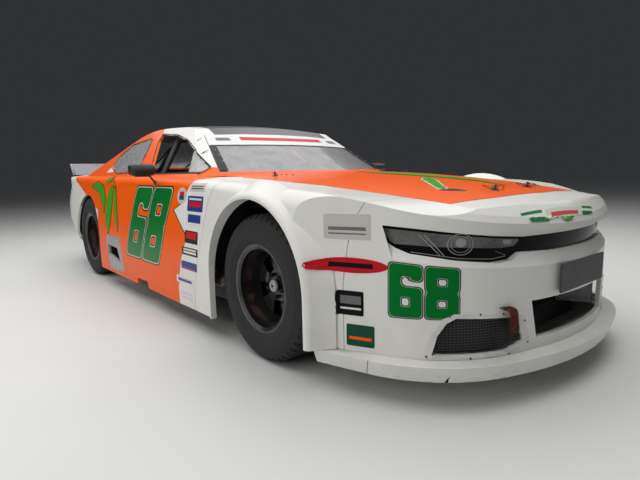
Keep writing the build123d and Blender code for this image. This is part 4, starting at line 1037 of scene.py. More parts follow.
# headlamp shapes on the dark band
lampSet = {"bandTop": [(-0.772, 0.662), (-0.752, 0.604), (-0.66, 0.594), (-0.56, 0.588), (-0.45, 0.580),
                       (-0.385, 0.584), (-0.360, 0.608), (-0.488, 0.620), (-0.653, 0.642)],
           "lowLine": [(-0.716, 0.573), (-0.600, 0.549), (-0.480, 0.540), (-0.425, 0.547), (-0.425, 0.550),
                       (-0.480, 0.543), (-0.600, 0.552), (-0.716, 0.576)],
           "slants": [((-0.703, 0.640), (-0.650, 0.560)), ((-0.690, 0.638), (-0.640, 0.560)),
                      ((-0.470, 0.570), (-0.425, 0.552))], "slantWidth": 0.003,
           "rings": [(-0.592, 0.602, 0.040, 0.0375), (-0.592, 0.602, 0.030, 0.0285),
                     (-0.592, 0.608, 0.017, 0.0155)], "lens": (-0.592, 0.608, 0.0155),
           "box": [(-0.452, 0.617), (-0.444, 0.586), (-0.383, 0.587), (-0.378, 0.609)],
           "boxInner": [(-0.438, 0.611), (-0.434, 0.593), (-0.402, 0.594), (-0.400, 0.608)]}
lampSilver = grained("lampSilver", grey(0.10), rgba(0.30, 0.29, 0.29), 40.0, 0.25, 0.1, metallic=0.3)
lampLine = vinyl("lampLine", grey(0.34))
lampGlow = grained("lampGlow", grey(0.30), rgba(0.55, 0.55, 0.54), 60.0, 0.2, 0.1)


def circleLoop(x, z, radius, count=40):
    angles = [2 * math.pi * step / count for step in range(count)]
    return [(x + radius * math.cos(angle), z + radius * math.sin(angle)) for angle in angles]


for name, side in sides.items():
    addSheet("lampUpper." + name, [mirrored(lampSet["bandTop"], side)], *lampFace, lampSilver, corner=0.008,
             lift=0.0008)
    addSheet("lampFoot." + name, [mirrored(lampSet["lowLine"], side)], *lampFace, lampLine, lift=0.0014)
    wide = lampSet["slantWidth"]
    for index, (start, end) in enumerate(lampSet["slants"]):
        line = [start, (start[0] + wide, start[1]), (end[0] + wide, end[1]), end]
        addSheet("lampSlant" + str(index) + "." + name, [mirrored(line, side)], *lampFace, lampLine,
                 lift=0.0016)
    for index, (x, z, wide, narrow) in enumerate(lampSet["rings"]):
        loops = [mirrored(circleLoop(x, z, wide), side), mirrored(circleLoop(x, z, narrow), side)]
        addSheet("lampRing" + str(index) + "." + name, loops, *lampFace, lampLine, lift=0.0018, thick=0.001)
    addSheet("lampLens." + name, [mirrored(circleLoop(*lampSet["lens"]), side)], *lampFace, lampGlow,
             lift=0.0015)
    addSheet("lampBox." + name, [mirrored(lampSet["box"], side)], *lampFace, lampSilver, corner=0.004,
             lift=0.0015)
    addSheet("lampBoxInner." + name, [mirrored(lampSet["boxInner"], side)], *lampFace, lampGlow, corner=0.003,
             lift=0.0024)
print("stage: lamps")


# corner grilles of woven wire with their surrounds and screws
grilleSet = {"opening": [(-0.700, 0.196), (-0.686, 0.270), (-0.660, 0.322), (-0.636, 0.336), (-0.440, 0.322),
                         (-0.384, 0.306), (-0.362, 0.222), (-0.440, 0.194)],
             "pitch": 0.0105, "wire": 0.0019, "surround": 0.016, "tuck": 0.004,
             "screws": [(-0.712, 0.190), (-0.590, 0.181), (-0.440, 0.180), (-0.353, 0.212), (-0.372, 0.300),
                        (-0.470, 0.339), (-0.560, 0.346), (-0.655, 0.345)]}
wireBlack = grained("wireBlack", grey(0.035), grey(0.10), 500.0, 0.5, 0.3)
screwSteel = grained("screwSteel", rgba(0.06, 0.055, 0.05), rgba(0.25, 0.23, 0.2), 300.0, 0.4, 0.2,
                     metallic=0.8)
surroundPaint = paint("surroundPaint", rgba(0.72, 0.71, 0.68), 0.35, dirt=0.5, top=0.5)
meshSurface = surfaceOf("grille_meshes")


def addScrew(shape, spot, normal, radius=0.0045, height=0.0022):
    # a shallow domed head with its drive recess
    head = bmesh.ops.create_cone(shape, cap_ends=True, segments=14, radius1=radius, radius2=radius * 0.72,
                                 depth=height, matrix=aimed(normal, spot, "Z", "Y"))
    top = max({face for vert in head["verts"] for face in vert.link_faces},
              key=lambda face: face.calc_center_median().dot(Vector(normal)))
    bmesh.ops.inset_individual(shape, faces=[top], thickness=radius * 0.3)
    bmesh.ops.inset_individual(shape, faces=[top], thickness=radius * 0.05, depth=-height * 0.5)


def screwDown(shape, surface, spot, toward, lift, *sizes):
    # one screw where a panel is met from outside
    hit, normal = landing(surface, Vector(spot), Vector(toward))
    addScrew(shape, hit + normal * lift, normal, *sizes)


for name, side in sides.items():
    opening = mirrored(grilleSet["opening"], side)
    tuck = grilleSet["tuck"]
    low = [min(spot[axis] for spot in opening) - tuck for axis in (0, 1)]
    size = [max(spot[axis] for spot in opening) + tuck - low[axis] for axis in (0, 1)]
    shape = flatShape([[(x - low[0], z - low[1]) for x, z in grown(opening, tuck)]])
    bmesh.ops.dissolve_faces(shape, faces=shape.faces[:])
    cutGrid(shape, size[0], size[1], grilleSet["pitch"])
    for vert in shape.verts:
        spot = Vector((low[0] + vert.co.x, -2.7, low[1] + vert.co.y))
        hit = meshSurface.ray_cast(spot, Vector((0, 1, 0)))[0]
        vert.co = hit if hit is not None else meshSurface.find_nearest(Vector((spot.x, -2.2, spot.z)))[0]
    bmesh.ops.wireframe(shape, faces=shape.faces[:], thickness=grilleSet["wire"], use_replace=True,
                        use_boundary=True)
    closeUp(shape)
    makePiece("cornerGrille." + name, shape, wireBlack,
              replaces=("grille_meshes",) if name == "right" else ())
    addSheet("grilleSurround." + name, [grown(opening, grilleSet["surround"]), opening], *noseFace,
             surroundPaint, lift=0.0022, thick=0.002, step=0.02)
    screws = bmesh.new()
    for x, z in mirrored(grilleSet["screws"], side):
        screwDown(screws, panels["nose"], onNosePlane(x, z), aft, 0.003)
    makePiece("grilleScrews." + name, screws, screwSteel, smooth=40)
print("stage: grilles")


# hood pins, latches and the screws round them
hoodKit = {"pins": [(-0.194, -2.136), (0.079, -2.138), (-0.56, -1.02), (0.56, -1.02)], "plateRadius": 0.020,
           "rod": 0.006, "rodHeight": 0.024, "loop": 0.026,
           # each cable loop: shift, tilt, share of the loop's radius
           "loops": [((-0.026, 0.016, 0), (0.1, -0.35, 1), 1.0), ((0.030, -0.004, 0), (0.45, 0.2, 1), 0.7)],
           "latch": [(-0.398, -1.998), (-0.396, -2.020), (-0.340, -2.078), (-0.313, -2.076), (-0.312, -2.052),
                     (-0.366, -1.994)],
           "latchHole": [(-0.374, -2.016), (-0.372, -2.030), (-0.334, -2.060), (-0.345, -2.028)],
           "dots": [(-0.511, -0.969), (-0.499, -0.995), (-0.486, -1.026), (-0.469, -1.065)],
           "retainerFoot": (0.624, 0, 0.935), "retainerTop": (0.584, 0, 1.07),
           "retainerShares": (0.12, 0.4, 0.68, 0.92)}
latchGrey = grained("latchGrey", grey(0.07), rgba(0.16, 0.15, 0.14), 300.0, 0.45, 0.2, metallic=0.4)
cableBlack = grained("cableBlack", grey(0.008), grey(0.03), 900.0, 0.5, 0.3)

for index, (x, y) in enumerate(hoodKit["pins"]):
    hit, normal = landing(panels["hood"], Vector(onTop(x, y)), Vector(down))
    pin = bmesh.new()
    bmesh.ops.create_cone(pin, cap_ends=True, segments=28, radius1=hoodKit["plateRadius"],
                          radius2=hoodKit["plateRadius"] * 0.86, depth=0.003,
                          matrix=aimed(normal, hit + normal * 0.0015, "Z", "Y"))
    addRod(pin, hit, hit + normal * hoodKit["rodHeight"], hoodKit["rod"], 14, hoodKit["rod"] * 0.8)
    addRing(pin, hit + normal * 0.014, Vector((0.55, 0.2, 0.8)), 0.013, 0.0012, 24, 8)
    makePiece("hoodPin" + str(index), pin, screwSteel, smooth=40, body="hood_lid")
    if y < -2:
        loops = bmesh.new()
        for shift, tilt, reach in hoodKit["loops"]:
            radius = hoodKit["loop"] * reach
            centre = hit + Vector(shift) + normal * (0.003 + radius * 0.36)
            addRing(loops, centre, Vector(tilt), radius, 0.0014, 30, 7)
        makePiece("pinLoop" + str(index), loops, cableBlack, smooth=60, body="hood_lid")
for name, side in sides.items():
    addSheet("hoodLatch." + name, [mirrored(hoodKit["latch"], side)], *hoodFace, latchGrey, "hood_lid",
             corner=0.008, lift=0.0022, thick=0.002)
    addSheet("latchMouth." + name, [mirrored(hoodKit["latchHole"], side)], *hoodFace, vinyls["ink"],
             "hood_lid", corner=0.003, lift=0.003)
    dots = bmesh.new()
    for x, y in mirrored(hoodKit["dots"], side):
        screwDown(dots, panels["top"], onTop(x, y), down, 0.0012, 0.0065, 0.003)
    makePiece("hoodDots." + name, dots, cableBlack, smooth=40, body="hood_lid")
    fixings = bmesh.new()
    start, end = Vector(hoodKit["retainerFoot"]), Vector(hoodKit["retainerTop"])
    for share in hoodKit["retainerShares"]:
        spot = start.lerp(end, share)
        screwDown(fixings, panels["glass"], onGlassPlane(side * spot.x, spot.z), aft, 0.003, 0.006, 0.003)
    makePiece("retainerScrews." + name, fixings, lampGlow, smooth=40)
print("stage: hood hardware")


# tyres with grooves, shoulder lugs and sidewall rings
tyreSet = {"profile": [(0.000, 0.3370), (0.006, 0.3370), (0.007, 0.3450), (0.040, 0.3449), (0.041, 0.3370),
                       (0.050, 0.3370), (0.051, 0.3447), (0.084, 0.3442), (0.085, 0.3375), (0.092, 0.3372),
                       (0.093, 0.3438), (0.104, 0.3422), (0.113, 0.3388), (0.121, 0.3325), (0.128, 0.3230),
                       (0.134, 0.3095), (0.1375, 0.2960), (0.1395, 0.2945), (0.1400, 0.2900),
                       (0.1390, 0.2880), (0.1415, 0.2740), (0.1424, 0.2600), (0.1410, 0.2460),
                       (0.1422, 0.2440), (0.1415, 0.2400), (0.1395, 0.2385), (0.1345, 0.2230),
                       (0.1285, 0.2110), (0.1270, 0.2100), (0.1268, 0.2062), (0.1235, 0.2040),
                       (0.1185, 0.1965), (0.1150, 0.1912)], "steps": 144, "lugEvery": 3, "lugDepth": 0.0045,
           "lugWall": 0.0012, "lugReach": 0.100, "lugRing": (0.3235, 0.3435)}
wheelSet = {"centre": 0.799, "nuts": 5, "nutRing": 0.056, "nut": 0.0105, "nutLength": 0.020, "capFace": 0.044,
            "valve": (0.020, 0.120, 0.128), "valveNeck": (0.045, -0.010, 0.010),
            "valveTip": (0.056, -0.0125, 0.0125),
            "lips": [(0.1278, 0.2062, 0.0011), (0.1262, 0.1975, 0.0008)]}


def wheelTurn(side, axleY):
    # from a wheel's own frame, +X outward, to its place on the car
    place = Matrix.Rotation(0 if side > 0 else math.pi, 4, "Z")
    place.translation = (side * wheelSet["centre"], axleY, axleHeight)
    return place


def makeTyre():
    half = tyreSet["profile"]
    inner, outer = tyreSet["lugRing"]
    outline = [(-x, r) for x, r in reversed(half[1:])] + half
    shape = lathe(outline, tyreSet["steps"])
    for end in (-1, 1):
        groups = {}
        for face in shape.faces:
            spot = face.calc_center_median()
            radius = math.hypot(spot.y, spot.z)
            if end * spot.x > tyreSet["lugReach"] and inner < radius < outer:
                turn = int((math.degrees(math.atan2(spot.z, spot.y)) % 360) / (360 / tyreSet["steps"]))
                groups.setdefault(turn, []).append(face)
        for turn, faces in groups.items():
            if turn % tyreSet["lugEvery"] == 0:
                bmesh.ops.inset_region(shape, faces=faces, thickness=tyreSet["lugWall"],
                                       depth=-tyreSet["lugDepth"], use_even_offset=True, use_boundary=True)
    closeUp(shape)
    return shape


def makeWheelTrim():
    # hub cap, five nuts, valve, and steel rings on the rim lips standing in for their thin highlight (painted
    # highlight), seen in the dish
    shape = bmesh.new()
    face = wheelSet["capFace"]
    cap = lathe([(face - 0.006, 0.0), (face - 0.006, 0.030), (face + 0.004, 0.030), (face + 0.009, 0.027),
                 (face + 0.011, 0.020), (face + 0.0095, 0.012), (face + 0.011, 0.006), (face + 0.0115, 0.0)],
                40)
    joinInto(shape, cap, 0)
    for step in range(wheelSet["nuts"]):
        angle = math.radians(54 + 360 / wheelSet["nuts"] * step)
        spot = Vector((0.026, wheelSet["nutRing"] * math.cos(angle), wheelSet["nutRing"] * math.sin(angle)))
        nut = bmesh.new()
        addRod(nut, spot, spot + Vector((wheelSet["nutLength"], 0, 0)), wheelSet["nut"], 6,
               wheelSet["nut"] * 0.9)
        bmesh.ops.bevel(nut, geom=[edge for edge in nut.edges if edge.calc_face_angle(0) > 0.9],
                        offset=0.0008, segments=1, affect="EDGES", profile=0.5, material=-1)
        addRod(nut, spot, spot + Vector((wheelSet["nutLength"] + 0.006, 0, 0)), 0.005, 12)
        joinInto(shape, nut, 1)
    valve = bmesh.new()
    start, neck, tip = (Vector(wheelSet[key]) for key in ("valve", "valveNeck", "valveTip"))
    addRod(valve, start, start + neck, 0.0042, 12, 0.0036)
    addRod(valve, start + neck, start + tip, 0.0050, 12)
    joinInto(shape, valve, 1)
    # rings on the black rim's lips: a painted highlight
    lips = bmesh.new()
    for along, radius, thick in wheelSet["lips"]:
        addRing(lips, Vector((along, 0, 0)), Vector((1, 0, 0)), radius, thick, 96, 8)
    joinInto(shape, lips, 2)
    dimple = bmesh.new()
    addRod(dimple, (face + 0.006, 0, 0), (face + 0.0128, 0, 0), 0.0065, 20)
    joinInto(shape, dimple, 1)
    return shape


capGrey = grained("capGrey", rgba(0.34, 0.34, 0.33), rgba(0.55, 0.54, 0.52), 120.0, 0.5, 0.3)
# steel brighter than the black rim: a painted highlight on the rim lips
lipSteel = bareMetal("lipSteel", grey(0.22), rgba(0.45, 0.44, 0.43), 0.3)
nutSteel = grained("nutSteel", grey(0.03), rgba(0.16, 0.12, 0.10), 200.0, 0.45, 0.3, metallic=0.7)
tyreShape, trimShape = makeTyre(), makeWheelTrim()
for name, side in sides.items():
    for end, axleY in wheelSpots.items():
        body = end + "_wheel_" + name
        one = tyreShape.copy()
        one.transform(wheelTurn(side, axleY))
        makePiece("tyre." + end + "." + name, one, finishes["tyre"], smooth=32, body=body,
                  replaces=("tyre_" + end + "_" + name,))
        one = trimShape.copy()
        one.transform(wheelTurn(side, axleY))
        makePiece("wheelTrim." + end + "." + name, one, [capGrey, nutSteel, lipSteel], smooth=35, body=body)
tyreShape.free()
trimShape.free()
print("stage: tyres and wheel trims")


# door mirrors: a rolled tube on a thin stay, glass to the rear
mirrorSet = {"near": 0.962, "far": 1.108, "centre": (-0.292, 0.907), "radius": 0.034, "deep": 1.2,
             "glassAt": 0.62, "rim": (0.95, 0.90), "inset": 0.005, "stay": 0.0065, "foot": (-0.205, 0.826)}
mirrorGlass = bareMetal("mirrorGlass", rgba(0.55, 0.56, 0.57), rgba(0.62, 0.63, 0.64), 0.05)


def makeMirror(chosen):
    span, radius = chosen["far"] - chosen["near"], chosen["radius"]
    shape = lathe([(0.0, 0.0), (0.0, radius * 0.84), (0.003, radius * 0.94), (0.010, radius),
                   (span - 0.018, radius), (span - 0.008, radius * 0.95), (span - 0.002, radius * 0.82),
                   (span, radius * 0.6), (span, 0.0)], 48)
    bmesh.ops.scale(shape, vec=(1, chosen["deep"], 1), verts=shape.verts)
    cutAt = radius * chosen["deep"] * chosen["glassAt"]
    bmesh.ops.bisect_plane(shape, geom=shape.verts[:] + shape.edges[:] + shape.faces[:], dist=1e-6,
                           plane_co=(0, cutAt, 0), plane_no=(0, 1, 0), clear_outer=True)
    rim = [edge for edge in shape.edges if edge.is_boundary]
    mouth = bmesh.ops.holes_fill(shape, edges=rim, sides=0)["faces"]
    middle = Vector((span / 2, 0, 0))
    for scale, depth in ((chosen["rim"], 0.0), ((1.0, 1.0), chosen["inset"])):
        made = bmesh.ops.extrude_face_region(shape, geom=mouth)["geom"]
        bmesh.ops.delete(shape, geom=mouth, context="FACES_ONLY")
        mouth = [item for item in made if isinstance(item, bmesh.types.BMFace)]
        for vert in {vert for face in mouth for vert in face.verts}:
            vert.co.x = middle.x + (vert.co.x - middle.x) * scale[0]
            vert.co.z *= scale[1]
            vert.co.y -= depth
    for face in mouth:
        face.material_index = 1
    return shape


for name, side in sides.items():
    y, z = mirrorSet["centre"]
    shell = makeMirror(mirrorSet)
    shell.transform(Matrix.Translation((mirrorSet["near"], y, z)))
    joint = Vector((side * (mirrorSet["near"] + 0.030), y - 0.004, z - mirrorSet["radius"] - 0.001))
    if side < 0:
        bmesh.ops.scale(shell, vec=(-1, 1, 1), verts=shell.verts)
        bmesh.ops.reverse_faces(shell, faces=shell.faces)
    footY, footZ = mirrorSet["foot"]
    hit, normal = landing(panels[name], Vector(onSide[name](footY, footZ)), Vector((-side, 0, 0)), 1.0)
    stay, thick = bmesh.new(), mirrorSet["stay"]
    addRod(stay, hit, joint, thick, 14, thick * 0.9)
    addRod(stay, hit - normal * 0.002, hit + normal * 0.005, 0.017, 24, 0.013)
    addRod(stay, joint, joint + Vector((side * 0.085, 0.004, 0.0)), thick, 14)
    bmesh.ops.create_uvsphere(stay, u_segments=16, v_segments=10, radius=thick * 1.35,
                              matrix=Matrix.Translation(joint))
    makePiece("mirrorShell." + name, shell, [finishes["mirror_shell"], mirrorGlass], smooth=35,
              replaces=("mirrors",) if name == "right" else ())
    makePiece("mirrorStay." + name, stay, finishes["mirror_shell"], smooth=35)
print("stage: mirrors")


# tow strap: worn webbing through its slit
strapSet = {"left": -0.485, "right": -0.435, "flare": 0.26, "drift": 0.010, "arch": 3.14,
            "path": [(-2.350, 0.3605), (-2.372, 0.3608), (-2.3805, 0.356), (-2.3862, 0.344), (-2.3866, 0.320),
                     (-2.3852, 0.296), (-2.3838, 0.272)],
            "freeTop": 0.350, "freeLength": 0.078, "bow": 0.0035, "ripple": 0.0012, "frayed": 0.2735,
            "fray": (-0.004, 0.005), "thick": 0.0035, "length": 0.125, "columns": 10, "rows": 3, "seed": 11}
strap = bmesh.new()
width, columns, rows = strapSet["right"] - strapSet["left"], strapSet["columns"], strapSet["rows"]
first = [strap.verts.new((strapSet["left"] + width * share / columns, *strapSet["path"][0]))
         for share in range(columns + 1)]
row = [strap.edges.new(pair) for pair in zip(first, first[1:])]
for start, end in zip(strapSet["path"], strapSet["path"][1:]):
    for part in range(rows):
        made = bmesh.ops.extrude_edge_only(strap, edges=row)["geom"]
        row = [item for item in made if isinstance(item, bmesh.types.BMEdge)]
        moved = [item for item in made if isinstance(item, bmesh.types.BMVert)]
        bmesh.ops.translate(strap, vec=(0, (end[0] - start[0]) / rows, (end[1] - start[1]) / rows),
                            verts=moved)
seed = random.Random(strapSet["seed"])
for vert in strap.verts:
    hang = min(max((strapSet["freeTop"] - vert.co.z) / strapSet["freeLength"], 0), 1)
    across = (vert.co.x - strapSet["left"]) / width
    bow = -strapSet["bow"] * math.sin(across * strapSet["arch"]) * hang
    vert.co.y += bow + strapSet["ripple"] * math.sin(vert.co.z * 260 + across * 5) * hang
    vert.co.x += strapSet["drift"] * hang * hang + strapSet["flare"] * 0.05 * hang * (across - 0.5)
    if vert.co.z < strapSet["frayed"]:
        vert.co.z += seed.uniform(*strapSet["fray"])
bmesh.ops.recalc_face_normals(strap, faces=strap.faces)
if sum(face.normal.y for face in strap.faces) > 0:
    bmesh.ops.reverse_faces(strap, faces=strap.faces)
bmesh.ops.solidify(strap, geom=strap.faces[:], thickness=strapSet["thick"])
towStrap = makePiece("towStrap", strap, finishes["strap_red"], smooth=50,
                     replaces=("tow_strap",))
print("stage: tow strap")


# near-black sheets behind the corner grilles as painted shade in their openings, and the pale expanded mesh
# on the inlet's sides, brightened as painted light
inletSet = {"near": (0.3340, -2.345), "far": (0.2600, -2.215), "foot": 0.232, "top": 0.366, "pitch": 0.0095,
            "wire": 0.0044, "slant": 45, "lines": (-32, 64)}
# near black sheets 3 cm behind the corner grilles: painted shade standing in for the dark inside the openings
openingShade = grained("inletBlack", grey(0.004), grey(0.012), 120.0, 0.8)
# near white: the mesh's pale tone raised further as painted light, since little light reaches into the inlet
meshPale = grained("meshPale", rgba(0.80, 0.80, 0.79), rgba(0.90, 0.90, 0.88), 400.0, 0.5, 0.3)
for name, side in sides.items():
    addSheet("grilleBacking." + name, [mirrored(grilleSet["opening"], side)], onNosePlane, aft, meshSurface,
             openingShade, lift=-0.030, thick=0.002)
near, far = (Vector((*inletSet[key], 0)) for key in ("near", "far"))
width, height = (far - near).length, inletSet["top"] - inletSet["foot"]
along, upward = (far - near).normalized(), Vector((0, 0, 1))
place = Matrix((along, upward, along.cross(upward))).transposed().to_4x4()
place.translation = near + Vector((0, 0, inletSet["foot"]))
for name, side in sides.items():
    screen = flatShape([[(0, 0), (width, 0), (width, height), (0, height)]])
    bmesh.ops.dissolve_faces(screen, faces=screen.faces[:])
    slant = Matrix.Rotation(math.radians(inletSet["slant"]), 3, "Z")
    bmesh.ops.rotate(screen, cent=(0, 0, 0), matrix=slant, verts=screen.verts)
    for index in range(*inletSet["lines"]):
        cutLine(screen, (index * inletSet["pitch"], 0, 0), (1, 0, 0))
        cutLine(screen, (0, index * inletSet["pitch"], 0), (0, 1, 0))
    upright = Matrix.Rotation(math.radians(-inletSet["slant"]), 3, "Z")
    bmesh.ops.rotate(screen, cent=(0, 0, 0), matrix=upright, verts=screen.verts)
    bmesh.ops.wireframe(screen, faces=screen.faces[:], thickness=inletSet["wire"], use_replace=True,
                        use_boundary=True)
    screen.transform(place)
    if side < 0:
        bmesh.ops.scale(screen, vec=(-1, 1, 1), verts=screen.verts)
    closeUp(screen)
    makePiece("inletMesh." + name, screen, meshPale)
print("stage: inlet")


# splitter with a rolled lip, its seams and a nick
splitterSet = {"round": 0.011, "top": 0.160, "foot": 0.116, "front": -2.494, "end": -1.9, "half": 0.936,
               "sweep": 0.62, "rim": 0.035,
               "seam": [(-0.8436, 0.112), (-0.8412, 0.112), (-0.8412, 0.172), (-0.8436, 0.172)],
               "nick": [(-0.621, 0.111), (-0.609, 0.111), (-0.611, 0.126), (-0.606, 0.140), (-0.612, 0.132),
                        (-0.617, 0.124)]}


def onRim(edge):
    # a sharp top or bottom edge round the splitter's outer outline
    heights = [vert.co.z for vert in edge.verts]
    if not (min(heights) > splitterSet["top"] or max(heights) < splitterSet["foot"]):
        return False
    return all(min(vert.co.y, splitterSet["end"]) - splitterSet["front"]
               < splitterSet["sweep"] * (vert.co.x / splitterSet["half"]) ** 2 + splitterSet["rim"]
               for vert in edge.verts)


lip = worldMesh("front_splitter")
outer = [edge for edge in lip.edges
         if len(edge.link_faces) == 2 and edge.calc_face_angle(0) > math.radians(30) and onRim(edge)]
bmesh.ops.bevel(lip, geom=outer, offset=splitterSet["round"], segments=5, affect="EDGES", profile=0.5,
                material=-1, clamp_overlap=True)
closeUp(lip)
makePiece("splitterLip", lip, finishes["splitter_white"], smooth=38,
          replaces=("front_splitter",))
splitterSurface = surfaceOf("front_splitter")
for name, side in sides.items():
    addSheet("splitterSeam." + name, [mirrored(splitterSet["seam"], side)], onNosePlane,
             (side * -0.6, 0.8, 0), splitterSurface, vinyls["ink"], step=0.01)
addSheet("splitterNick", [turnedRight(splitterSet["nick"])], onNosePlane, (0.3, 0.95, 0), splitterSurface,
         vinyls["ink"], step=0.008, lift=0.0012)
print("stage: splitter")


# driver's seat: foam pads in a shell, and its belts
seatSet = {"x": 0.380, "hem": 0.007, "roundness": 5.0, "groove": 0.013, "slack": 0.0012, "fill": 0.75,
           # name: centre (y, z), width, length, depth, lean, crown, seams across, seams along
           "pads": {"cushion": ((-0.135, 0.366), 0.330, 0.300, 0.060, -5.4, 0.012, (-0.25, 0.25),
                                (-0.45, 0.55)),
                    "back": ((0.050, 0.580), 0.330, 0.400, 0.060, 78.3, 0.012, (-0.25, 0.25),
                             (-0.6, -0.1, 0.4)),
                    "head": ((0.118, 0.885), 0.230, 0.130, 0.060, 78.3, 0.010, (), ())},
           # name: reach to the side, centre (y, z), depth, length, height, lean
           "sidePads": {"hip": (0.188, (-0.130, 0.410), 0.050, 0.290, 0.110, -5.4),
                        "rib": (0.188, (0.020, 0.610), 0.050, 0.290, 0.130, 78.3),
                        "head": (0.140, (0.080, 0.890), 0.042, 0.140, 0.120, 78.3)}}
padCloth = woven("padCloth", rgba(0.030, 0.030, 0.032), grey(0.008), 900.0)
beltWeb = woven("beltWeb", rgba(0.26, 0.018, 0.014), rgba(0.09, 0.008, 0.007), 1300.0)
buckleMetal = bareMetal("buckleMetal", rgba(0.35, 0.35, 0.36), grey(0.6), 0.3)
seatLook = bmesh.new()


def makePad(size, lean, place, crown=0.008, across=(), along=(), hem=0.007, seed=3):
    # a foam pad: a rounded block, crowned, with sewn grooves and slack by its hems
    pad = bmesh.new()
    bmesh.ops.create_cube(pad, size=2.0)
    bmesh.ops.subdivide_edges(pad, edges=pad.edges[:], cuts=27, use_grid_fill=True)
    shift = random.Random(seed).uniform(0, 9)
    power, groove = seatSet["roundness"], seatSet["groove"]
    for vert in pad.verts:
        x, y, z = vert.co
        shrink = (abs(x) ** power + abs(y) ** power + abs(z) ** power) ** (-1 / power)
        x, y, z = x * shrink, y * shrink, z * shrink
        raised = crown * (1 - x * x) * (1 - y * y)
        grooves = sum(math.exp(-((x - line) * size[0] / groove) ** 2) for line in across)
        grooves += sum(math.exp(-((y - line) * size[1] / groove) ** 2) for line in along)
        slack = seatSet["slack"] * math.sin(23 * x + shift) * math.sin(19 * y + shift) * (x * x + y * y)
        dressed = max(z, 0) * (raised - hem * min(grooves, 1) + slack)
        vert.co = (x * size[0] / 2, y * size[1] / 2, z * size[2] / 2 + dressed)
    pad.transform(Matrix.Translation(place) @ Matrix.Rotation(math.radians(lean), 4, "X"))
    return pad


def sewPad(name, pad):
    mesh = bpy.data.meshes.new("padCopy")
    pad.to_mesh(mesh)
    seatLook.from_mesh(mesh)
    bpy.data.meshes.remove(mesh)
    piece = makePiece(name, pad, padCloth, smooth=60)


for label, (centre, width, length, depth, lean, crown, across, along) in seatSet["pads"].items():
    pad = makePad((width, length, depth), lean, (seatSet["x"], *centre), crown, across, along, seatSet["hem"],
                  len(label))
    sewPad("seatPad." + label, pad)
for label, (reach, centre, depth, length, height, lean) in seatSet["sidePads"].items():
    for name, side in sides.items():
        pad = makePad((depth, length, height), lean, (seatSet["x"] + side * reach, *centre), 0.004,
                      hem=seatSet["hem"], seed=len(label))
        sewPad("seatBolster." + label + "." + name, pad)
bmesh.ops.remove_doubles(seatLook, verts=seatLook.verts, dist=1e-6)
seatSurface = BVHTree.FromBMesh(seatLook)
seatLook.free()

beltSet = {"width": 0.046, "shoulder": [(0.075, 0.775), (0.022, 0.452)],
           "lap": [(0.020, 0.456), (0.140, 0.466)], "buckle": (0.380, -0.028, 0.440), "buckleLean": -100}


def beforeSeat(x, z):
    return (x, -0.1, z)


def beltRun(start, end, width, side):
    # a straight run of webbing, as an outline in x and z
    first, last = (Vector((seatSet["x"] + side * x, z)) for x, z in (start, end))
    aside = Vector((-(last - first).y, (last - first).x)).normalized() * width / 2
    return turnedRight([tuple(first - aside), tuple(last - aside), tuple(last + aside), tuple(first + aside)])


for name, side in sides.items():
    for label, ends in (("shoulderBelt", beltSet["shoulder"]), ("lapBelt", beltSet["lap"])):
        belt = addSheet(label + "." + name, [beltRun(*ends, beltSet["width"], side)], beforeSeat, aft,
                        seatSurface, beltWeb, step=0.012, lift=0.002, thick=0.0025)
        length = sum(face.area for face in belt.data.polygons) / 2 / beltSet["width"]
buckle = lathe([(-0.004, 0.0), (-0.004, 0.028), (0.004, 0.030), (0.010, 0.027), (0.012, 0.018),
                (0.020, 0.016), (0.021, 0.006), (0.020, 0.0)], 40)
for step in range(4):
    angle = math.radians(45 + 90 * step)
    addBlock(buckle, (0.002, -0.010, 0.020), (0.008, 0.010, 0.040),
             Matrix.Rotation(angle, 3, "X"), 0.0015, 2)
buckle.transform(Matrix.Translation(beltSet["buckle"]) @
                 Matrix.Rotation(math.radians(beltSet["buckleLean"]), 4, "Z"))
makePiece("beltBuckle", buckle, buckleMetal, smooth=35)
print("stage: seat and belts")


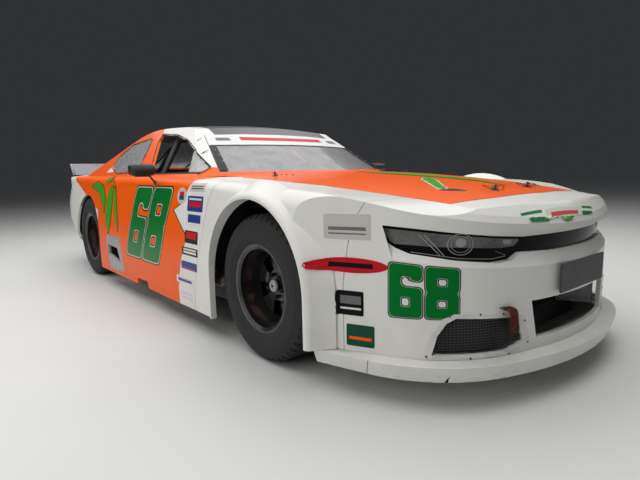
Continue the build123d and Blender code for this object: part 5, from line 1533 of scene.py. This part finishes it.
# dials, switches, wheel pad and shift lever
dialSet = {"dials": [(0.250, 0.752, 0.030), (0.330, 0.757, 0.038), (0.430, 0.757, 0.038),
                     (0.510, 0.752, 0.030), (0.170, 0.752, 0.030)], "switches": [0.02, 0.05, 0.08, 0.11],
           "switchHeight": 0.762, "before": -0.4, "marks": 13, "firstMark": -120, "markStep": 20}
dialFace = grained("dialFace", rgba(0.55, 0.55, 0.53), rgba(0.65, 0.65, 0.63), 200.0, 0.4, 0.1)
dialBezel = grained("dialBezel", grey(0.012), grey(0.05), 300.0, 0.35, 0.2, metallic=0.5)
needleRed = grained("needleRed", rgba(0.45, 0.02, 0.01), rgba(0.55, 0.05, 0.03), 200.0, 0.4, 0.1)
dashSurface = surfaceOf("dashboard")
for index, (x, z, radius) in enumerate(dialSet["dials"]):
    hit, normal = landing(dashSurface, Vector((x, dialSet["before"], z)), Vector(fore))
    dial = lathe([(0.0, 0.0), (0.0, radius), (0.012, radius), (0.015, radius * 0.94), (0.012, radius * 0.86),
                  (0.006, radius * 0.84), (0.006, 0.0)], 48)
    for face in dial.faces:
        spot = face.calc_center_median()
        if abs(spot.x - 0.006) < 1e-4 and math.hypot(spot.y, spot.z) < radius * 0.84:
            face.material_index = 1
    marks = bmesh.new()
    for step in range(dialSet["marks"]):
        turn = Matrix.Rotation(math.radians(dialSet["firstMark"] + dialSet["markStep"] * step), 3, "X")
        addBlock(marks, (0.0062, -0.0007, radius * 0.64), (0.0066, 0.0007, radius * 0.80))
        bmesh.ops.rotate(marks, cent=(0, 0, 0), matrix=turn,
                         verts=[vert for vert in marks.verts if not vert.tag])
        for vert in marks.verts:
            vert.tag = True
    joinInto(dial, marks, 0)
    needle = bmesh.new()
    addBlock(needle, (0.0070, -0.0009, -radius * 0.12), (0.0078, 0.0009, radius * 0.62))
    bmesh.ops.rotate(needle, cent=(0, 0, 0), matrix=Matrix.Rotation(math.radians(-70 + 25 * index), 3, "X"),
                     verts=needle.verts)
    addRod(needle, (0.0062, 0, 0), (0.0086, 0, 0), radius * 0.09, 16)
    joinInto(dial, needle, 2)
    dial.transform(aimed(normal, hit + normal * 0.0003))
    makePiece("dial" + str(index), dial, [dialBezel, dialFace, needleRed], smooth=35)
switches = bmesh.new()
for x in dialSet["switches"]:
    hit, normal = landing(dashSurface, Vector((x, dialSet["before"], dialSet["switchHeight"])), Vector(fore))
    addRod(switches, hit, hit + normal * 0.006, 0.008, 6)
    addRod(switches, hit, hit + normal * 0.012, 0.0055, 20)
    addRod(switches, hit + normal * 0.010, hit + normal * 0.030 + Vector((0, 0, 0.006)), 0.0024, 12, 0.0036)
makePiece("switches", switches, buckleMetal, smooth=35)

helmHub, helmFoot = Vector((0.380, -0.215, 0.735)), Vector((0.380, -0.458, 0.672))
helmPad = lathe([(0.0305, 0.0), (0.0305, 0.033), (0.036, 0.036), (0.044, 0.034), (0.048, 0.026),
                 (0.048, 0.0)], 6)
bmesh.ops.bevel(helmPad, geom=helmPad.edges[:], offset=0.002, segments=2, affect="EDGES", profile=0.5,
                material=-1)
for spot in ((0.0, 0.016), (0.014, -0.008), (-0.014, -0.008)):
    addRod(helmPad, (0.047, *spot), (0.051, *spot), 0.0045, 16)
helmPad.transform(aimed((helmHub - helmFoot).normalized(), helmHub))
makePiece("helmPad", helmPad, dialBezel, smooth=30, body="helm")

leverSet = {"foot": (0.085, -0.300, 0.452), "knee": (0.100, -0.285, 0.560), "knob": (0.118, -0.235, 0.690)}
lever = bmesh.new()
foot, knee, knob = (Vector(leverSet[key]) for key in ("foot", "knee", "knob"))
addRod(lever, foot, knee, 0.009, 18)
addRod(lever, knee, knob, 0.009, 18, 0.008)
bmesh.ops.create_uvsphere(lever, u_segments=18, v_segments=12, radius=0.0092, matrix=Matrix.Translation(knee))
makePiece("shiftLever", lever, buckleMetal, smooth=40)
grip = lathe([(-0.020, 0.0), (-0.020, 0.010), (-0.012, 0.015), (0.002, 0.023), (0.014, 0.024), (0.023, 0.018),
              (0.027, 0.009), (0.028, 0.0)], 32)
grip.transform(aimed((knob - knee).normalized(), knob))
makePiece("shiftKnob", grip, dialBezel, smooth=40)
boot = lathe([(0.0, 0.0), (0.0, 0.062), (0.004, 0.064), (0.010, 0.058), (0.018, 0.052), (0.024, 0.054),
              (0.030, 0.044), (0.038, 0.038), (0.044, 0.039), (0.050, 0.028), (0.060, 0.020), (0.066, 0.020),
              (0.074, 0.012), (0.076, 0.0)], 32)
boot.transform(aimed((knee - foot).normalized(), foot))
makePiece("shiftBoot", boot, padCloth, smooth=60)
print("stage: cabin")


# engine bay: air cleaner, valve covers, pulleys, belt and pipes
engineSet = {"cleaner": (0.0, -1.440, 0.694), "cleanerRadius": 0.175, "coverLean": 38,
             "coverAt": (0.252, 0.648), "coverEnds": (-1.745, -1.155), "front": -1.781,
             "pulleys": [(0.0, 0.330, 0.078), (0.0, 0.560, 0.062), (0.185, 0.560, 0.048),
                         (-0.195, 0.470, 0.055)], "beltStep": 0.2244, "beltSteps": 28, "beltBack": 0.017,
             "beltWidth": 0.016, "beltThick": 0.004, "pleats": (0.014, 0.049), "ribs": 5, "cap": 0.12}
coverPaint = grained("coverPaint", rgba(0.018, 0.018, 0.019), rgba(0.06, 0.055, 0.05), 420.0, 0.45, 0.5)
filterPleats = woven("filterPleats", rgba(0.32, 0.10, 0.06), rgba(0.10, 0.03, 0.02), 300.0, 0.1)
castMetal = bareMetal("castMetal", grey(0.30), rgba(0.52, 0.51, 0.50), 0.42, (40.0, 40.0, 40.0))
beltRubber = grained("beltRubber", grey(0.010), grey(0.04), 500.0, 0.7, 0.3)

radius = engineSet["cleanerRadius"]
cleaner = lathe([(0.0, 0.0), (0.0, radius * 0.92), (0.004, radius * 0.97), (0.010, radius), (0.013, radius),
                 (0.013, radius * 0.93), (0.050, radius * 0.93), (0.050, radius), (0.054, radius),
                 (0.060, radius * 0.96), (0.064, radius * 0.7), (0.067, radius * 0.3), (0.067, 0.0)], 72)
for face in cleaner.faces:
    if engineSet["pleats"][0] < face.calc_center_median().x < engineSet["pleats"][1]:
        face.material_index = 1
knob = lathe([(0.066, 0.0), (0.066, 0.020), (0.074, 0.018), (0.078, 0.010), (0.078, 0.0)], 8)
joinInto(cleaner, knob, 0)
cleaner.transform(Matrix.Translation(engineSet["cleaner"]) @ Matrix.Rotation(-math.pi / 2, 4, "Y"))
makePiece("airCleaner", cleaner, [castMetal, filterPleats], smooth=35)
for name, side in sides.items():
    x, z = engineSet["coverAt"]
    start, end = engineSet["coverEnds"]
    cover = bmesh.new()
    addBlock(cover, (-0.062, start, -0.004), (0.062, end, 0.050), None, 0.016, 4)
    for step in range(engineSet["ribs"]):
        y = start + 0.07 + step * (end - start - 0.14) / (engineSet["ribs"] - 1)
        addBlock(cover, (-0.046, y - 0.006, 0.045), (0.046, y + 0.006, 0.056), None, 0.003, 2)
    for y in (start + 0.03, (start + end) / 2, end - 0.03):
        for across in (-0.052, 0.052):
            addRod(cover, (across, y, 0.040), (across, y, 0.058), 0.007, 6)
    cap = start + engineSet["cap"]
    addRod(cover, (0.0, cap, 0.045), (0.0, cap, 0.074), 0.018, 20, 0.016)
    cover.transform(Matrix.Translation((side * x, 0, z)) @
                    Matrix.Rotation(math.radians(side * engineSet["coverLean"]), 4, "Y"))
    makePiece("valveCover." + name, cover, coverPaint, smooth=35)
pulleys = bmesh.new()
for x, z, size in engineSet["pulleys"]:
    wheel = lathe([(-0.004, 0.0), (-0.004, size * 0.5), (-0.010, size * 0.55), (-0.010, size),
                   (-0.014, size * 1.03), (-0.016, size * 0.97), (-0.034, size * 0.97), (-0.036, size * 1.03),
                   (-0.040, size), (-0.040, size * 0.72), (-0.030, size * 0.66), (-0.030, size * 0.3),
                   (-0.044, size * 0.26), (-0.044, 0.0)], 44)
    wheel.transform(Matrix.Translation((x, engineSet["front"], z)) @ Matrix.Rotation(math.pi / 2, 4, "Z"))
    joinInto(pulleys, wheel, 0)
makePiece("pulleys", pulleys, castMetal, smooth=35)
turns = [step * engineSet["beltStep"] for step in range(engineSet["beltSteps"])]
band = bmesh.new()
spots = [band.verts.new((x + size * math.cos(turn), z + size * math.sin(turn), 0))
         for x, z, size in engineSet["pulleys"] for turn in turns]
bmesh.ops.convex_hull(band, input=spots)
bmesh.ops.dissolve_limit(band, angle_limit=0.01, verts=band.verts, edges=band.edges)
bmesh.ops.delete(band, geom=[vert for vert in band.verts if not vert.link_faces], context="VERTS")
flat = max(band.faces, key=lambda face: face.calc_area())
loop = [vert.co.copy() for vert in flat.verts]
band.free()
band = bmesh.new()
ring = [band.verts.new((spot.x, engineSet["front"] - engineSet["beltBack"], spot.y)) for spot in loop]
edges = [band.edges.new(pair) for pair in zip(ring, ring[1:] + ring[:1])]
made = bmesh.ops.extrude_edge_only(band, edges=edges)["geom"]
moved = [item for item in made if isinstance(item, bmesh.types.BMVert)]
bmesh.ops.translate(band, vec=(0, -engineSet["beltWidth"], 0), verts=moved)
bmesh.ops.recalc_face_normals(band, faces=band.faces)
bmesh.ops.solidify(band, geom=band.faces[:], thickness=-engineSet["beltThick"])
makePiece("driveBelt", band, beltRubber, smooth=40)


def addPipe(shape, spots, radius, segments=18):
    # rigid tube along a bent line: straight runs with a ball at each bend
    for start, end in zip(spots, spots[1:]):
        addRod(shape, start, end, radius, segments)
    for spot in spots[1:-1]:
        bmesh.ops.create_uvsphere(shape, u_segments=segments, v_segments=10, radius=radius,
                                  matrix=Matrix.Translation(spot))


def bent(corners, reach, steps=6):
    # rounds the corners of a line
    spots = [Vector(corners[0])]
    for before, corner, after in zip(corners, corners[1:], corners[2:]):
        before, corner, after = Vector(before), Vector(corner), Vector(after)
        first = corner + (before - corner).normalized() * reach
        last = corner + (after - corner).normalized() * reach
        for step in range(steps + 1):
            share = step / steps
            spots.append(first.lerp(corner, share).lerp(corner.lerp(last, share), share))
    return spots + [Vector(corners[-1])]


pipeSet = {"coolantPipeUpper": [(0.10, -1.80, 0.640), (0.10, -1.88, 0.640), (0.22, -1.93, 0.560),
                                (0.22, -2.004, 0.560)],
           "coolantPipeLower": [(-0.10, -1.782, 0.430), (-0.10, -1.87, 0.430), (-0.24, -1.93, 0.300),
                                (-0.24, -2.004, 0.300)]}
for name, run in pipeSet.items():
    pipe = bmesh.new()
    spots = bent(run, 0.035)
    addPipe(pipe, spots, 0.0185)
    makePiece(name, pipe, castMetal, smooth=45)
    joints = bmesh.new()
    for start, end in ((spots[0], spots[1]), (spots[-1], spots[-2])):
        aim = (end - start).normalized()
        addRod(joints, start, start + aim * 0.045, 0.0215, 24)
        for along in (0.010, 0.036):
            addRing(joints, start + aim * along, aim, 0.0222, 0.0016, 24, 6)
    makePiece(name + "Joints", joints, beltRubber, smooth=45)
print("stage: engine bay")


# tail: lamp panels, rear window trim, fuel filler, spoiler stays and rivets
tailSet = {"lamp": [(0.470, 0.640), (0.820, 0.650), (0.835, 0.700), (0.800, 0.765), (0.455, 0.765)],
           "lampInner": [(0.500, 0.662), (0.795, 0.670), (0.805, 0.702), (0.780, 0.742), (0.488, 0.742)],
           "lampBars": [[(0.52, 0.676), (0.64, 0.679), (0.64, 0.724), (0.515, 0.724)],
                        [(0.665, 0.680), (0.770, 0.683), (0.768, 0.724), (0.665, 0.724)]],
           "window": [(-0.470, 1.060), (0.470, 1.060), (0.560, 1.780), (-0.560, 1.780)], "windowEdge": 0.012,
           "straps": (-0.19, 0.19), "strapHalf": 0.012, "strapEnds": (1.052, 1.788),
           "strapScrews": (1.060, 1.25, 1.45, 1.62, 1.774),
           "vent": [(-0.42, 0.230), (0.42, 0.230), (0.46, 0.330), (-0.46, 0.330)],
           "filler": (1.830, 0.775, 0.062), "fillerScrews": 6, "spoilerStays": (-0.62, -0.22, 0.22, 0.62),
           "spoilerRivets": 14, "spoilerHalf": 0.77, "spoilerRows": (0.915, 0.996),
           "plateRows": (0.165, 0.408), "plateFirst": 0.40, "platePitch": 0.0915, "plateRivets": 5,
           "plateFace": -0.97}
tailFace = (onTail, fore, surfaceOf("rear_fascia", "side_left", "side_right"))
lampFilm = paint("lampFilm", rgba(0.012, 0.008, 0.008), 0.2, dirt=0.15, top=0.8, coat=0.6)
lampDeep = paint("lampDeep", rgba(0.16, 0.006, 0.006), 0.2, dirt=0.15, top=0.8, coat=0.6)


for name, side in sides.items():
    addSheet("tailLamp." + name, [seenAstern(tailSet["lamp"], side)], *tailFace, lampFilm, corner=0.012)
    addSheet("tailLampInner." + name, [seenAstern(tailSet["lampInner"], side)], *tailFace, lampDeep,
             corner=0.010, lift=0.0018)
    for index, bar in enumerate(tailSet["lampBars"]):
        addSheet("tailLampBar" + str(index) + "." + name, [seenAstern(bar, side)], *tailFace, lampFilm,
                 corner=0.006, lift=0.0027)
addSheet("tailVent", [seenAstern(tailSet["vent"])], *tailFace, meshBlack("tailVentMesh"), corner=0.015)
rearSurface = surfaceOf("rear_window", "roof")
window = turnedRight(tailSet["window"])
addSheet("rearWindowEdge", [grown(window, tailSet["windowEdge"]), window], onTop, down, rearSurface,
         rubberTrim, step=0.06, thick=0.0015)
half, (start, end) = tailSet["strapHalf"], tailSet["strapEnds"]
for index, x in enumerate(tailSet["straps"]):
    loop = [(x - half, start), (x + half, start), (x + half, end), (x - half, end)]
    addSheet("rearWindowStrap" + str(index), [loop], onTop, down, rearSurface, dialBezel, step=0.05,
             lift=0.0025, thick=0.002)
screws = bmesh.new()
for x in tailSet["straps"]:
    for y in tailSet["strapScrews"]:
        screwDown(screws, rearSurface, onTop(x, y), down, 0.0045, 0.006, 0.003)
makePiece("rearWindowScrews", screws, screwSteel, smooth=40)

y, z, radius = tailSet["filler"]
hit, normal = landing(panels["left"], Vector((1.1, y, z)), Vector((-1, 0, 0)))
filler = lathe([(-0.002, 0.0), (-0.002, radius * 1.16), (0.0015, radius * 1.14), (0.0025, radius * 1.02),
                (0.0015, radius), (0.003, radius * 0.96), (0.006, radius * 0.70), (0.006, radius * 0.36),
                (0.010, radius * 0.30), (0.010, 0.0)], 48)
for step in range(tailSet["fillerScrews"]):
    angle = math.pi * step / 3 + 0.3
    spot = (radius * 1.07 * math.cos(angle), radius * 1.07 * math.sin(angle))
    addRod(filler, (0.001, *spot), (0.0035, *spot), 0.0035, 10)
filler.transform(aimed(normal, hit))
makePiece("fuelFiller", filler, castMetal, smooth=35)

spoilerSurface = surfaceOf("spoiler")
stays = bmesh.new()
for x in tailSet["spoilerStays"]:
    addRod(stays, (x, 2.402, 0.8955), (x, 2.476, 0.985), 0.0045, 12)
    addBlock(stays, (x - 0.014, 2.392, 0.891), (x + 0.014, 2.416, 0.896), None, 0.0008, 1)
makePiece("spoilerStays", stays, buckleMetal, smooth=40)
rivets = bmesh.new()
for step in range(tailSet["spoilerRivets"]):
    x = -tailSet["spoilerHalf"] + 2 * tailSet["spoilerHalf"] * step / (tailSet["spoilerRivets"] - 1)
    for z in tailSet["spoilerRows"]:
        screwDown(rivets, spoilerSurface, onTail(x, z), aft, 0.001, 0.0042, 0.002)
makePiece("spoilerRivets", rivets, screwSteel, smooth=40)
rivets = bmesh.new()
plateSurface = surfaceOf("exhaust_plate")
for step in range(tailSet["plateRivets"]):
    y = tailSet["plateFirst"] + tailSet["platePitch"] * step
    for z in tailSet["plateRows"]:
        hit, normal = landing(plateSurface, Vector(onRight(y, z)), Vector((1, 0, 0)))
        if abs(hit.x - tailSet["plateFace"]) < 0.03:
            addScrew(rivets, hit + normal * 0.001, normal, 0.0045, 0.002)
makePiece("exhaustRivets", rivets, screwSteel, smooth=40)
print("stage: tail")


# the car's reach as the frame gave it and as it is dressed
reach = {"before": cadBox, "after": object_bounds()}
print("stage: dressed,", len(bpy.data.meshes), "meshes")
